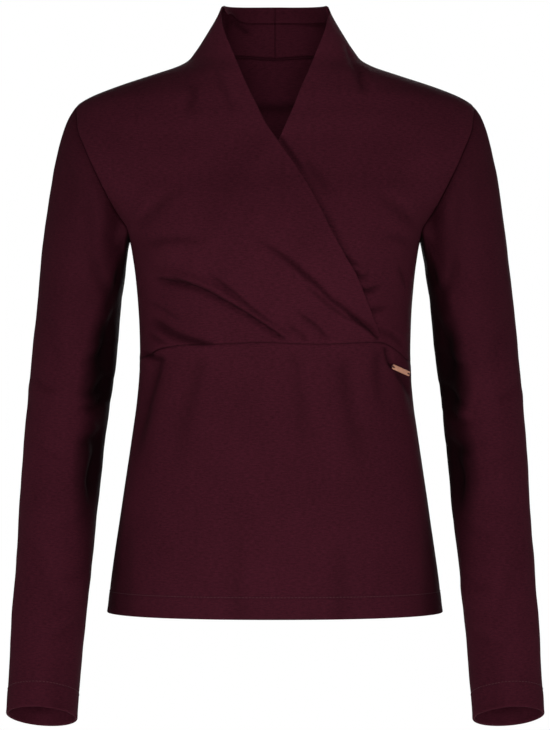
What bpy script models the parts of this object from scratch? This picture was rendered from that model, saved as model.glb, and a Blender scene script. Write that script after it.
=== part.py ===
"""Crossover top with long sleeves, standing in its worn form with nobody in it.

Every cloth piece is a wall laid on one general form: level rings for the trunk, shoulders and stand collar, and a
second set of rings for each sleeve. A piece is the area between its seams. +Z is up, the front faces -Y, and the
origin is on the centre line, level with the neck points.
"""

from collections import namedtuple

import bpy
import numpy as np

# ---- driving sizes, in millimetres -------------------------------------------------------------
WALL = 1.2  # cloth wall
SEAM = 0.5  # opening between two pieces along a seam
WAIST_SEAM = 1.2  # the same at the curved waist seam
LAP = 3.6  # how far the outer wrap stands off the underlap, middle to middle
LAP_RAMP = 24.0  # width over which the outer wrap rises onto the underlap
ARMHOLE_SET = 0.95  # each side of the armhole line, body edge and sleeve edge
UNDERARM_SET = 2.0  # under the arm the sleeve hangs beside the trunk, this far off
HEM_Z = -549.5
COLLAR_SIDE_Z = 58.3
COLLAR_BACK_Z = 61.7
TURN_BACK = 15.5  # height of the turned-in collar edge at the centre back
TURN_GAP = 1.7  # the turned-in edge stands this far inside the collar, middle to middle
SHOULDER_SEAM = 183.0  # degrees round the form, just behind the ridge of the shoulder
SIDE_SEAM = 186.0  # degrees, just behind the side
TAG_LENGTH = 23.0
TAG_HEIGHT = 5.0
TAG_YAW = 35.0  # degrees that it turns away from the front
TAG_DROP = 19.9  # degrees that it slopes down
TAG_WALL = 1.0
# The outlines below are as they look from this far in front, with the eye at this height.
EYE_DISTANCE = 3200.0
EYE_Z = -303.0

# ---- the form: one row for each level ring -------------------------------------------------------
Ring = namedtuple("Ring", "z half_width front back middle power")
FORM = [
    Ring(66, 49.0, 50, 53, 10, 2.00),
    Ring(52, 54.5, 53, 56, 10, 2.00),
    Ring(28, 68.0, 58, 61, 9, 2.00),
    Ring(8, 81.0, 63, 66, 8, 2.00),
    Ring(0, 87.5, 66, 69, 8, 2.00),
    Ring(-5, 97.0, 68, 71, 8, 2.00),
    Ring(-14, 124.0, 72, 75, 7, 2.00),
    Ring(-26, 161.0, 77, 79, 7, 2.00),
    Ring(-38, 189.5, 82, 83, 6, 2.00),
    Ring(-44, 198.0, 84, 85, 6, 2.00),
    Ring(-60, 207.5, 90, 88, 5, 2.05),
    Ring(-80, 212.0, 96, 90, 5, 2.15),
    Ring(-100, 207.0, 102, 92, 4, 2.25),
    Ring(-120, 194.0, 108, 93, 4, 2.35),
    Ring(-135, 180.0, 113, 93, 3, 2.45),
    Ring(-150, 163.5, 117, 93, 3, 2.55),
    Ring(-163, 152.0, 120, 92, 3, 2.60),
    Ring(-176, 145.5, 121, 91, 2, 2.60),
    Ring(-198, 141.0, 121, 89, 2, 2.50),
    Ring(-234, 137.0, 113, 83, 1, 2.25),
    Ring(-270, 135.0, 99, 78, 0, 2.10),
    Ring(-306, 135.0, 92, 77, 0, 2.05),
    Ring(-342, 138.0, 92, 82, 0, 2.05),
    Ring(-378, 143.0, 95, 89, 0, 2.10),
    Ring(-450, 153.5, 102, 100, 0, 2.15),
    Ring(-522, 163.5, 106, 104, 0, 2.20),
    Ring(-566, 168.0, 108, 105, 0, 2.20),
]

# ---- seams and edges on the form, as seen from the front ------------------------------------------
Spot = namedtuple("Spot", "x z")
WRAP_EDGE = [  # free edge of the outer wrap, from the collar's corner down to the waist seam
    Spot(-54.5, 50), Spot(-51.5, 34), Spot(-49.5, 28), Spot(-44.5, 16), Spot(-39.5, 4), Spot(-34.5, -8),
    Spot(-26.5, -26), Spot(-17.5, -44), Spot(-8.5, -62), Spot(-0.5, -74), Spot(7.5, -86), Spot(15, -96),
    Spot(39, -134), Spot(56, -168), Spot(70, -194), Spot(80, -211), Spot(90, -235), Spot(97, -253), Spot(107, -279.3),
]
UNDER_EDGE = [  # the underlap's free edge, mirrored onto the same side; it goes under the wrap below z -80
    Spot(-54.5, 50), Spot(-50.5, 34), Spot(-48.5, 28), Spot(-43.5, 16), Spot(-38.5, 4), Spot(-33.5, -8),
    Spot(-25.5, -26), Spot(-18.5, -44), Spot(-10.5, -62), Spot(-5, -74), Spot(4, -87), Spot(13, -98),
    Spot(37, -134), Spot(55, -168), Spot(69, -194), Spot(88, -235), Spot(106, -279),
]
WAIST = [  # waist seam, side to side
    Spot(-135, -299), Spot(-126, -293), Spot(-114, -286.5), Spot(-88, -282), Spot(-56, -281.6), Spot(-13, -279.3),
    Spot(12, -281), Spot(46, -282), Spot(88, -280), Spot(106, -279.5), Spot(120, -287), Spot(131, -298), Spot(135, -301),
]
ARMHOLE = [  # front of the armhole
    Spot(-198.2, -43.5), Spot(-198.6, -52), Spot(-197.5, -65), Spot(-190.5, -85), Spot(-180.5, -108),
    Spot(-169.0, -131), Spot(-155.5, -154), Spot(-146.6, -169), Spot(-145.6, -176),
]
NeckPoint = namedtuple("NeckPoint", "angle z")
BACK_NECK = [NeckPoint(183, 0), NeckPoint(200, 5.5), NeckPoint(225, 10.8), NeckPoint(245, 12), NeckPoint(270, 10.5)]

# ---- the sleeve: one row for each ring, from the armhole to the cuff --------------------------------
Cuff = namedtuple("Cuff", "outer_x outer_z inner_x inner_z middle_y half_depth lean")
SLEEVE = [
    Cuff(-198.2, -43.5, -147.6, -176.0, 4, 51, 0),
    Cuff(-204.5, -52.0, -147.8, -178.5, 4, 53, 0),
    Cuff(-209.5, -63.0, -148.1, -182.0, 4, 54, 0),
    Cuff(-214.5, -80.0, -148.4, -187.0, 4, 54, 0),
    Cuff(-219.5, -102.0, -148.9, -194.0, 5, 54, 0),
    Cuff(-224.0, -128.0, -149.7, -203.0, 5, 54, 0),
    Cuff(-228.5, -160.0, -150.6, -216.0, 6, 54, 0),
    Cuff(-232.5, -198.0, -152.4, -234.0, 8, 53, 0),
    Cuff(-237.5, -244.0, -155.4, -264.0, 9, 52, 1),
    Cuff(-242.5, -294.0, -160.4, -304.0, 9, 51, 4),
    Cuff(-247.0, -339.0, -165.6, -346.0, 6, 50, 9),
    Cuff(-250.3, -378.0, -170.5, -386.0, -1, 48, 14),
    Cuff(-254.0, -436.0, -177.3, -443.0, -17, 45, 19),
    Cuff(-259.0, -508.0, -185.2, -514.0, -42, 41, 21),
    Cuff(-264.2, -584.0, -192.7, -589.0, -70, 38, 21),
    Cuff(-267.6, -652.5, -198.6, -656.5, -96, 36, 21),
]

# ---- the largest folds: soft troughs on the form, one row for each ----------------------------------
Fold = namedtuple("Fold", "x0 z0 x1 z1 x2 z2 depth width")
BODY_FOLDS = [
    Fold(-112, -220, -70, -231, 10, -278, 2.2, 10),
    Fold(-62, -217, -26, -247, 26, -274, 1.6, 9),
    Fold(-18, -175, 36, -218, 102, -276, 1.8, 9),
    Fold(-124, -262, -106, -270, -86, -278, 2.6, 12),
    Fold(-118, -300, -134, -350, -141, -405, 2.4, 13),
    Fold(128, -246, 112, -244, 92, -262, 1.6, 9),
]
ArmFold = namedtuple("ArmFold", "z angle depth width_z width_angle")
ARM_FOLDS = [  # dents at the inner elbow and under the arm, angle round the sleeve from its outer side over the front
    ArmFold(-352, 150, 4.0, 22, 28),
    ArmFold(-384, 158, 3.6, 14, 26),
    ArmFold(-412, 150, 2.6, 13, 24),
    ArmFold(-250, 158, 2.4, 30, 22),
]


# ---- helpers ----------------------------------------------------------------------------------------
def smooth_table(rows, knots, at, spread):
    """Columns of a table at the places asked for: a cubic through the rows, then softened over spread."""
    rows = np.array(rows, float)
    knots = np.array(knots, float)
    step = np.diff(knots)
    rise = np.diff(rows, axis=0) / step[:, None]
    lean = np.vstack([rise[:1], (rise[:-1] * step[1:, None] + rise[1:] * step[:-1, None]) / (step[1:] + step[:-1])[:, None], rise[-1:]])
    place = np.clip(np.searchsorted(knots, at) - 1, 0, len(step) - 1)
    f = ((at - knots[place]) / step[place])[:, None]
    h = step[place][:, None]
    out = (
        rows[place] * (1 + 2 * f) * (1 - f) ** 2
        + lean[place] * h * f * (1 - f) ** 2
        + rows[place + 1] * f * f * (3 - 2 * f)
        + lean[place + 1] * h * f * f * (f - 1)
    )
    if not spread:
        return out
    gap = at[1] - at[0]
    reach = int(3 * spread / gap)
    weights = np.exp(-0.5 * (np.arange(-reach, reach + 1) * gap / spread) ** 2)
    weights /= weights.sum()
    ends = np.vstack([2 * out[0] - out[reach:0:-1], out, 2 * out[-1] - out[-2 : -reach - 2 : -1]])
    return np.column_stack([np.convolve(column, weights, "valid") for column in ends.T])


def through(points, at):
    """A smooth line through points, at fractions of its length."""
    points = np.array(points, float)
    along = np.concatenate([[0], np.cumsum(np.linalg.norm(np.diff(points, axis=0), axis=1))])
    return smooth_table(points, along / along[-1], np.atleast_1d(at), 0)


def ease(value):
    value = np.clip(value, 0.0, 1.0)
    return value * value * (3 - 2 * value)


FORM_Z = np.arange(-566.0, 66.01, 0.5)
FORM_ROWS = smooth_table([ring[1:] for ring in FORM[::-1]], [ring.z for ring in FORM[::-1]], FORM_Z, 2.5)


def ring_at(z):
    return [np.interp(z, FORM_Z, column) for column in FORM_ROWS.T]


def form_point(angle, z):
    """A point of the form: angle in degrees, 0 at +X, 90 at the front, 180 at -X, 270 at the back."""
    half_width, front, back, middle, power = ring_at(z)
    c, s = np.cos(np.radians(angle)), np.sin(np.radians(angle))
    reach = (np.abs(c) ** power + np.abs(s) ** power) ** (-1 / power)
    return np.stack([half_width * c * reach, middle - np.where(s > 0, front, back) * s * reach, z + 0 * c], -1)


def form_normal(angle, z):
    round_it = form_point(angle + 0.4, z) - form_point(angle - 0.4, z)
    down_it = form_point(angle, z - 0.75) - form_point(angle, z + 0.75)
    normal = np.cross(round_it, down_it)
    return normal / np.linalg.norm(normal, axis=-1, keepdims=True)


def form_angle(x, z, behind=False):
    """Angle and depth of the form's point at this width and height."""
    half_width, front, back, middle, power = ring_at(z)
    c = np.clip(x / half_width, -1, 1)
    s = (1 - np.abs(c) ** power) ** (1 / power)
    if behind:
        return np.degrees(np.arctan2(-s, c)) % 360, middle + back * s
    return np.degrees(np.arctan2(s, c)), middle - front * s


def unview(x, z, y):
    """Where a point seen at x, z stands, when it is at depth y."""
    k = (EYE_DISTANCE + y) / EYE_DISTANCE
    return x * k, EYE_Z + (z - EYE_Z) * k


def on_front(spots):
    """Angle and height of the spots on the front of the form."""
    seen = np.array(spots, float)
    y = np.full(len(seen), -60.0)
    for _ in range(30):
        x, z = unview(seen[:, 0], seen[:, 1], y)
        angle, y = form_angle(x, z)
    return np.column_stack([angle, z])


def waist_line():
    """The waist seam by angle, its corners softened."""
    line = on_front(WAIST)[::-1]
    line[0, 0], line[-1, 0] = 0, 180
    angles = np.arange(0, 180.5, 0.5)
    heights = np.interp(angles, line[:, 0], line[:, 1])
    return angles, smooth_table(heights[:, None], angles, angles, 3.5)[:, 0]


WAIST_ANGLES, WAIST_HEIGHTS = waist_line()


def waist_z(angle):
    return np.interp(angle, WAIST_ANGLES, WAIST_HEIGHTS)


def trough(x, z, fold):
    """How deep a fold is at x, z: deepest in its middle, fading along and across."""
    line = through([(fold.x0, fold.z0), (fold.x1, fold.z1), (fold.x2, fold.z2)], np.linspace(0, 1, 25))
    gap = np.hypot(x[..., None] - line[:, 0], z[..., None] - line[:, 1])
    near = gap.min(-1)
    along = gap.argmin(-1) / 24.0
    return fold.depth * np.exp(-((near / fold.width) ** 2)) * np.sin(np.pi * np.clip(along * 0.85 + 0.1, 0, 1)) ** 0.7


def body_dent(points):
    x, y, z = points[..., 0], points[..., 1], points[..., 2]
    dent = sum(trough(x, z, fold) for fold in BODY_FOLDS)
    return np.where(y < 0, dent, 0.0)


def skin(angle, z, lift, mirror=False):
    """Outer and inner points of a cloth wall on the form, lift being its middle above the form."""
    middle, normal = form_point(angle, z), form_normal(angle, z)
    if mirror:
        middle, normal = middle * [-1, 1, 1], normal * [-1, 1, 1]
    height = (lift - body_dent(middle))[..., None]
    return middle + normal * (height + WALL / 2), middle + normal * (height - WALL / 2)


def wall(name, outer, inner, colour, metallic=0.0, roughness=0.85, ring=False):
    """One closed solid from two grids of points. ring joins the last column to the first."""
    rows, columns = outer.shape[:2]
    number = np.arange(rows * columns).reshape(rows, columns)
    wide = columns if ring else columns - 1
    faces = []
    for r in range(rows - 1):
        for c in range(wide):
            a, b = number[r, c], number[r, (c + 1) % columns]
            d, e = number[r + 1, c], number[r + 1, (c + 1) % columns]
            faces += [(a, d, e, b), tuple(v + rows * columns for v in (a, b, e, d))]
    if ring:
        edges = [(number[0, (c + 1) % columns], number[0, c]) for c in range(columns)]
        edges += [(number[-1, c], number[-1, (c + 1) % columns]) for c in range(columns)]
    else:
        loop = list(number[:, 0]) + list(number[-1, 1:]) + list(number[-2::-1, -1]) + list(number[0, -2:0:-1])
        edges = list(zip(loop, loop[1:] + loop[:1]))
    faces += [(a, a + rows * columns, b + rows * columns, b) for a, b in edges]
    points = np.concatenate([outer.reshape(-1, 3), inner.reshape(-1, 3)]) / 1000.0
    corners = [points[[face[i] for face in faces]] for i in range(4)]
    size = sum((np.cross(corners[i], corners[i + 1]) * corners[0]).sum() for i in (1, 2))
    if size < 0:
        faces = [face[::-1] for face in faces]
    mesh = bpy.data.meshes.new(name)
    mesh.from_pydata(points.tolist(), [], [tuple(int(v) for v in face) for face in faces])
    mesh.polygons.foreach_set("use_smooth", [True] * len(mesh.polygons))
    material = bpy.data.materials.new(name)
    material.use_nodes = True
    shader = material.node_tree.nodes["Principled BSDF"]
    shader.inputs["Base Color"].default_value = (*colour, 1.0)
    shader.inputs["Metallic"].default_value = metallic
    shader.inputs["Roughness"].default_value = roughness
    mesh.materials.append(material)
    obj = bpy.data.objects.new(name, mesh)
    bpy.context.scene.collection.objects.link(obj)
    return obj


# ---- the armhole line ---------------------------------------------------------------------------------
HOLE_TOP, HOLE_BOTTOM = ARMHOLE[0].z, ARMHOLE[-1].z


def armhole_knots():
    """Turn and angle on the form for the rows of the table, round the whole line."""
    front = on_front(ARMHOLE)
    place = form_point(front[:, 0], front[:, 1])
    behind, _ = form_angle(place[:, 0], place[:, 2], behind=True)
    mid, half = (HOLE_TOP + HOLE_BOTTOM) / 2, (HOLE_TOP - HOLE_BOTTOM) / 2
    turn = np.degrees(np.arccos(np.clip((front[:, 1] - mid) / half, -1, 1)))
    turn[0], turn[-1] = 0, 180
    ahead = front[:, 0]
    ahead[[0, -1]] = behind[[0, -1]] = 180
    return np.concatenate([-turn[::-1], turn[1:]]), np.concatenate([behind[::-1], ahead[1:]])


HOLE_TURN, HOLE_ANGLE = armhole_knots()


def armhole(turn, set_in=0.0):
    """Angle and height on the form, turn in degrees: 0 on the ridge, 90 front, 180 underarm, 270 back.
    set_in moves the line on the form towards the trunk."""
    turn = np.atleast_1d(np.asarray(turn, float))
    wrapped = (turn + 180) % 360 - 180
    wrapped = np.where((wrapped == -180) & (turn > 0), 180.0, wrapped)
    order = np.argsort(wrapped)
    angle = np.empty(len(turn))
    angle[order] = smooth_table(HOLE_ANGLE[:, None], HOLE_TURN, wrapped[order], 0)[:, 0]
    z = (HOLE_TOP + HOLE_BOTTOM) / 2 + (HOLE_TOP - HOLE_BOTTOM) / 2 * np.cos(np.radians(turn))
    if set_in:
        before, after = armhole(turn - 1.5), armhole(turn + 1.5)
        along = form_point(after[:, 0], after[:, 1]) - form_point(before[:, 0], before[:, 1])
        side = np.cross(form_normal(angle, z), along)
        side /= np.linalg.norm(side, axis=1, keepdims=True)
        by_angle = form_point(angle + 0.5, z) - form_point(angle - 0.5, z)
        by_z = form_point(angle, z + 0.5) - form_point(angle, z - 0.5)
        aa, zz, az = (by_angle**2).sum(1), (by_z**2).sum(1), (by_angle * by_z).sum(1)
        a, b = (by_angle * side).sum(1), (by_z * side).sum(1)
        whole = aa * zz - az * az
        angle = angle + set_in * (a * zz - b * az) / whole
        z = z + set_in * (b * aa - a * az) / whole
    return np.column_stack([angle, z])


def split(counts, ends):
    """Evenly spaced fractions between the ends, with counts[i] steps in part i."""
    parts = [np.linspace(a, b, n, endpoint=False) for a, b, n in zip(ends, ends[1:], counts)]
    return np.concatenate(parts + [[ends[-1]]])


def beside(line, gap):
    """A line of angle and height moved round the form by gap, towards larger angles."""
    per_degree = np.linalg.norm(form_point(line[:, 0] + 0.5, line[:, 1]) - form_point(line[:, 0] - 0.5, line[:, 1]), axis=1)
    return np.column_stack([line[:, 0] + gap / per_degree, line[:, 1]])


def neck_line(steps):
    """Back neck seam, centre back to the neck point."""
    angles = np.linspace(270, SHOULDER_SEAM, steps + 1)
    table = np.array(BACK_NECK, float)
    return np.column_stack([angles, smooth_table(table[:, 1:], table[:, 0], angles[::-1], 0)[::-1, 0]])


def shoulder_line(steps):
    """Shoulder seam, neck point to the armhole."""
    ridge = np.array([(SHOULDER_SEAM, 0.0), (SHOULDER_SEAM, -7), (SHOULDER_SEAM, -21), (182, -34), (180, HOLE_TOP)])
    place = form_point(ridge[:, 0], ridge[:, 1])
    along = np.concatenate([[0], np.cumsum(np.linalg.norm(np.diff(place, axis=0), axis=1))])
    return smooth_table(ridge, along / along[-1], np.linspace(0, 1, steps + 1), 0)


def side_line(top, bottom, steps):
    """Side seam between two heights."""
    z = np.linspace(top, bottom, steps + 1)
    return np.column_stack([180 + (SIDE_SEAM - 180) * ease((HOLE_BOTTOM - z) / 70), z])


def front_upper(edge, rows, columns, waist_side):
    """Grid of angle and height of an upper front with its half of the collar, for the side of -X.
    rows counts the steps along the back neck, shoulder, armhole and side."""
    neck, shoulder, hole, side = rows
    neck_part = neck_line(neck)[:-1] + [0, SEAM / 2]
    ridge = beside(shoulder_line(shoulder), -SEAM / 2)[:-1]
    hole_part = armhole(np.linspace(0, 180, hole + 1), ARMHOLE_SET)
    hole_part[[0, -1]] = beside(hole_part[[0, -1]], -SEAM / 2)
    side_part = beside(side_line(hole_part[-1, 1], waist_side, side), -SEAM / 2)
    outer = np.vstack([neck_part, ridge, hole_part[:-1], side_part])
    # inner line: collar's top edge, then the free edge
    top = np.linspace(270, 180, neck, endpoint=False)
    top_part = np.column_stack([top, COLLAR_SIDE_Z + (COLLAR_BACK_Z - COLLAR_SIDE_Z) * ease((top - 180) / 90)])
    free = np.vstack([[(180.0, COLLAR_SIDE_Z)], on_front(through(edge, np.linspace(0, 1, 90)))])
    place = form_point(free[:, 0], free[:, 1])
    along = np.concatenate([[0], np.cumsum(np.linalg.norm(np.diff(place, axis=0), axis=1))])
    free_part = smooth_table(free, along / along[-1], split([shoulder, hole, side], [0, 0.22, 0.72, 1.0]), 0)
    inner = np.vstack([top_part, free_part])
    outer[0], inner[0] = beside(np.array([outer[0], inner[0]]), -SEAM / 2)
    across = np.linspace(0, 1, columns + 1)[None, :, None]
    grid = outer[:, None] * (1 - across) + inner[:, None] * across
    weight = np.zeros(len(outer))
    weight[-side - 1 :] = ease(np.linspace(0, 1, side + 1))
    return grid, weight


def settle_on_waist(grid, weight, mirror):
    """Bends the last rows of a grid onto the waist seam."""
    angles = 180 - grid[-1, :, 0] if mirror else grid[-1, :, 0]
    target = waist_z(angles) + WAIST_SEAM / 2
    miss = target - grid[-1, :, 1]
    grid[..., 1] += weight[:, None] * miss[None]
    return grid


def under_edge_x(z):
    """Where the underlap's hidden edge runs under the outer wrap, at this height."""
    line = on_front(UNDER_EDGE)
    points = form_point(line[:, 0], line[:, 1]) * [-1, 1, 1]
    order = np.argsort(points[:, 2])
    return np.interp(z, points[order, 2], points[order, 0])


def wrap_lift(points):
    """The outer wrap rises where it lies on the underlap."""
    reach = points[..., 0] - under_edge_x(points[..., 2])
    return np.where(points[..., 1] < 0, LAP * ease((reach + LAP_RAMP) / LAP_RAMP), 0.0)


# ---- start from an empty scene --------------------------------------------------------------------------
for old in list(bpy.data.objects):
    bpy.data.objects.remove(old, do_unlink=True)

CLOTH = (0.040, 0.0075, 0.0135)
ROSE = (0.62, 0.33, 0.25)
ROWS = (9, 6, 9, 7)  # steps along the back neck, shoulder, armhole and side
ACROSS = 12
LOW_ROWS, LOW_COLUMNS = 9, 18

# outer wrap, wearer's right
grid, weight = front_upper(WRAP_EDGE, ROWS, ACROSS, waist_z(180.0))
grid = settle_on_waist(grid, weight, False)
lift = wrap_lift(form_point(grid[..., 0], grid[..., 1]))
outer, inner = skin(grid[..., 0], grid[..., 1], lift)
wall("front_right_upper", outer, inner, CLOTH)

# underlap, wearer's left
grid, weight = front_upper(UNDER_EDGE, ROWS, ACROSS, waist_z(0.0))
grid = settle_on_waist(grid, weight, True)
outer, inner = skin(grid[..., 0], grid[..., 1], np.zeros(grid.shape[:2]), mirror=True)
wall("front_left_upper", outer, inner, CLOTH)

# lower front
share = np.linspace(0, 1, LOW_ROWS + 1)
left = beside(side_line(waist_z(180.0) - WAIST_SEAM / 2, HEM_Z, LOW_ROWS), -SEAM / 2)[:, :1]
right = 180 - beside(side_line(waist_z(0.0) - WAIST_SEAM / 2, HEM_Z, LOW_ROWS), -SEAM / 2)[:, :1]
grid_angle = left + (right - left) * np.linspace(0, 1, LOW_COLUMNS + 1)[None]
top = waist_z(grid_angle) - WAIST_SEAM / 2
grid_z = top * (1 - share[:, None]) + HEM_Z * share[:, None]
outer, inner = skin(grid_angle, grid_z, np.zeros(grid_z.shape))
wall("front_lower", outer, inner, CLOTH)


def back_grid(rows, columns):
    """Angle and height of the back: rows down the shoulders, armholes, and sides above and below the waist."""
    shoulder, hole, side, low = rows
    hole_part = armhole(-np.linspace(0, 180, hole + 1), ARMHOLE_SET)
    hole_part[[0, -1]] = beside(hole_part[[0, -1]], SEAM / 2)
    sides = []
    for waist in (waist_z(180.0), waist_z(0.0)):
        parts = [side_line(hole_part[-1, 1], waist, side)[:-1], side_line(waist, HEM_Z, low)]
        sides.append(beside(np.vstack(parts), SEAM / 2))
    ridge = beside(shoulder_line(shoulder), SEAM / 2)[:-1]
    left = np.vstack([ridge, hole_part[:-1], sides[0]])
    right = np.vstack([ridge, hole_part[:-1], sides[1]])
    share = np.linspace(0, 1, columns + 1)
    angle = left[:, :1] + (270 - left[:, :1]) * (1 - np.abs(2 * share - 1))[None]
    angle = np.where(share[None] > 0.5, 540 - angle, angle)
    z = left[:, 1:] * (1 - share[None]) + right[:, 1:] * share[None]
    neck = neck_line(columns // 2)[::-1, 1]
    neck = np.concatenate([neck, neck[-2::-1]]) - SEAM / 2
    fade = 1 - ease(np.arange(len(left)) / (shoulder + 2))
    z = z + fade[:, None] * (neck - z[0])[None]
    # away from the seams the rows are evenly spaced down to the waist
    last = len(left) - 1 - low
    even = z[0] + (z[last] - z[0]) * np.linspace(0, 1, last + 1)[:, None] ** 1.15
    middle = ease(4 * np.minimum(share, 1 - share))[None]
    z[: last + 1] = z[: last + 1] * (1 - middle) + even * middle
    return angle, z


# back
angle, z = back_grid((ROWS[1], ROWS[2], ROWS[3], LOW_ROWS), 2 * ROWS[0])
outer, inner = skin(angle, z, np.zeros(z.shape))
wall("back", outer, inner, CLOTH)


# turned-in top edge of the collar, inside the back neck
def collar_turn(name, side_height, end_angle, mirror):
    angles = np.linspace(270 - np.degrees(SEAM / 2 / 60), end_angle, 10)
    share = ease((angles - 180) / 90)
    top = COLLAR_SIDE_Z + (COLLAR_BACK_Z - COLLAR_SIDE_Z) * share - 0.3
    height = side_height + (TURN_BACK - side_height) * ease((angles - 198) / 46)
    down = np.linspace(0, 1, 3)[:, None]
    grid_z = top[None] - height[None] * down
    grid_angle = np.repeat(angles[None], 3, 0)
    outer, inner = skin(grid_angle, grid_z, np.full(grid_z.shape, -TURN_GAP), mirror)
    wall(name, outer, inner, CLOTH)


collar_turn("collar_turn_right", 5.0, 184.0, False)
collar_turn("collar_turn_left", TURN_BACK - 1.0, 178.0, True)


# sleeves
def sleeve_rows(at):
    rows = np.array(SLEEVE, float)
    x0, z0 = unview(rows[:, 0], rows[:, 1], rows[:, 4])
    x1, z1 = unview(rows[:, 2], rows[:, 3], rows[:, 4])
    rows[:, 0], rows[:, 1], rows[:, 2], rows[:, 3] = x0, z0, x1, z1
    way = np.linalg.norm(np.diff((rows[:, :2] + rows[:, 2:4]) / 2, axis=0), axis=1) + 0.35 * np.linalg.norm(np.diff(rows[:, :2], axis=0), axis=1)
    knots = np.concatenate([[0], np.cumsum(way)])
    return smooth_table(rows, knots / knots[-1], np.atleast_1d(at), 0)


def sleeve_ellipse(row, turn):
    """Points of one ring before the armhole's own shape is added."""
    outer, inner = np.array([row[0], row[4], row[1]]), np.array([row[2], row[4], row[3]])
    lean = np.radians(row[6])
    ahead = np.array([0.0, -np.cos(lean), np.sin(lean)])
    c, s = np.cos(np.radians(turn))[:, None], np.sin(np.radians(turn))[:, None]
    return (outer + inner) / 2 + c * (outer - inner) / 2 + s * row[5] * ahead


def sleeve_middle(at, turn):
    """Middle surface of the sleeve: rings at the fractions at, points at the angles turn."""
    rows = sleeve_rows(at)
    line, outward = armhole(turn), armhole(turn, -ARMHOLE_SET)
    under = ease((np.abs((turn + 180) % 360 - 180) - 95) / 50)
    hole = form_point(outward[:, 0], outward[:, 1]) + form_normal(line[:, 0], line[:, 1]) * (UNDERARM_SET * under)[:, None]
    first = sleeve_ellipse(sleeve_rows([0.0])[0], turn)
    extra = hole - first
    fade = (1 - ease(np.atleast_1d(at) / 0.30)) ** 1.5
    return np.stack([sleeve_ellipse(row, turn) + extra * f for row, f in zip(rows, fade)])


def arm_dent(points, turn):
    dent = np.zeros(points.shape[:2])
    for fold in ARM_FOLDS:
        off = (turn - fold.angle + 180) % 360 - 180
        dent += fold.depth * np.exp(-((points[..., 2] - fold.z) / fold.width_z) ** 2 - (off[None] / fold.width_angle) ** 2)
    return dent


def sleeve(name, rings, columns, mirror):
    at = split([6, rings - 6], [0.0, 0.16, 1.0])
    turn = np.arange(columns) * 360.0 / columns
    middle = sleeve_middle(at, turn)
    step = 1e-3
    down = sleeve_middle(np.minimum(at + step, 1), turn) - sleeve_middle(np.maximum(at - step, 0), turn)
    about = sleeve_middle(at, turn + 0.5) - sleeve_middle(at, turn - 0.5)
    normal = np.cross(down, about)
    normal /= np.linalg.norm(normal, axis=-1, keepdims=True)
    middle = middle - normal * arm_dent(middle, turn)[..., None]
    outer, inner = middle + normal * WALL / 2, middle - normal * WALL / 2
    if mirror:
        outer, inner = outer * [-1, 1, 1], inner * [-1, 1, 1]
    return wall(name, outer, inner, CLOTH, ring=True)


sleeve("sleeve_right", 20, 18, False)
sleeve("sleeve_left", 20, 18, True)


# metal tag, a flat bar that lies along the side of the waist at its inner end and stands off it at the other
def tag():
    inner_end = on_front([Spot(115.3, -304.2)])[0]
    start = form_point(inner_end[0], inner_end[1]) + form_normal(inner_end[0], inner_end[1]) * (WALL / 2 + 1.6)
    yaw, drop = np.radians(TAG_YAW), np.radians(TAG_DROP)
    ahead = np.array([np.cos(yaw) * np.cos(drop), np.sin(yaw) * np.cos(drop), -np.sin(drop)])
    facing = np.array([np.sin(yaw), -np.cos(yaw), 0.0])
    up = np.cross(ahead, facing)
    up *= np.sign(up[2])
    share = np.array([0, 0.02, 0.06, 0.5, 0.94, 0.98, 1.0])
    tall = TAG_HEIGHT / 2 * np.array([0.62, 0.88, 1.0, 1.0, 1.0, 0.88, 0.62])
    across = np.array([-1.0, -0.4, 0.4, 1.0])
    low = start + ahead * (share * TAG_LENGTH)[None, :, None] + up * (across[:, None] * tall[None])[..., None]
    wall("metal_tag", low + facing * TAG_WALL, low, ROSE, 1.0, 0.3)


tag()
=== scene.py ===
"""Looks of the crossover top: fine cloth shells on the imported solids' form, with their creases, seams and stitching,
the rose gold tag, and a plain pale studio.

Lengths are in millimetres until a mesh is made. Creases are placed as they are seen from the front: x runs right and
y runs down, a millimetre a unit at the garment's middle, with the origin of the part at x 275, y 62.
"""

import math
from collections import namedtuple

import bpy
import numpy as np
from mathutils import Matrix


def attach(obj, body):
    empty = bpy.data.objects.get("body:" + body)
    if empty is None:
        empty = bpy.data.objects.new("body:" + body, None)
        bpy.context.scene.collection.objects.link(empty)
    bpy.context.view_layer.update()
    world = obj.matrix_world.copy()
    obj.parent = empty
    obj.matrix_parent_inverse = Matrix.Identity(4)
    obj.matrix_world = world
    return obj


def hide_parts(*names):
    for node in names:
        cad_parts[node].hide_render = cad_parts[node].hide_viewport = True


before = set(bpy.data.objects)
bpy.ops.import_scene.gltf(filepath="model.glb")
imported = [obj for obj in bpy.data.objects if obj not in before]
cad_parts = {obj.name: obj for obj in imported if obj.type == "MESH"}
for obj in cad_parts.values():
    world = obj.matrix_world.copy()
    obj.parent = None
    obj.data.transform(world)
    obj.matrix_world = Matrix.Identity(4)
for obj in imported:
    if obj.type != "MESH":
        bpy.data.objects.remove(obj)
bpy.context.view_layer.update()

# ---- driving sizes, in millimetres -------------------------------------------------------------
WALL = 1.1  # jersey
SEAM = -0.10  # pieces meet along a seam, a hair over each other
LAP = 2.7  # how far the outer wrap stands off the underlap, middle to middle
LAP_RAMP = 26.0
ARMHOLE_SET = 0.05
UNDERARM_SET = 0.35
HEM_Z = -549.5
HEM_DEPTH = 21.5
CUFF_DEPTH = 25.0
COLLAR_SIDE_Z = 58.3
COLLAR_BACK_Z = 61.7
TURN_BACK = 15.5
TURN_GAP = 1.9
SHOULDER_SEAM = 183.0
SIDE_SEAM = 186.0
TAG_LENGTH = 23.0
TAG_HEIGHT = 5.0
TAG_YAW = 35.0
TAG_DROP = 19.9
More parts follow.
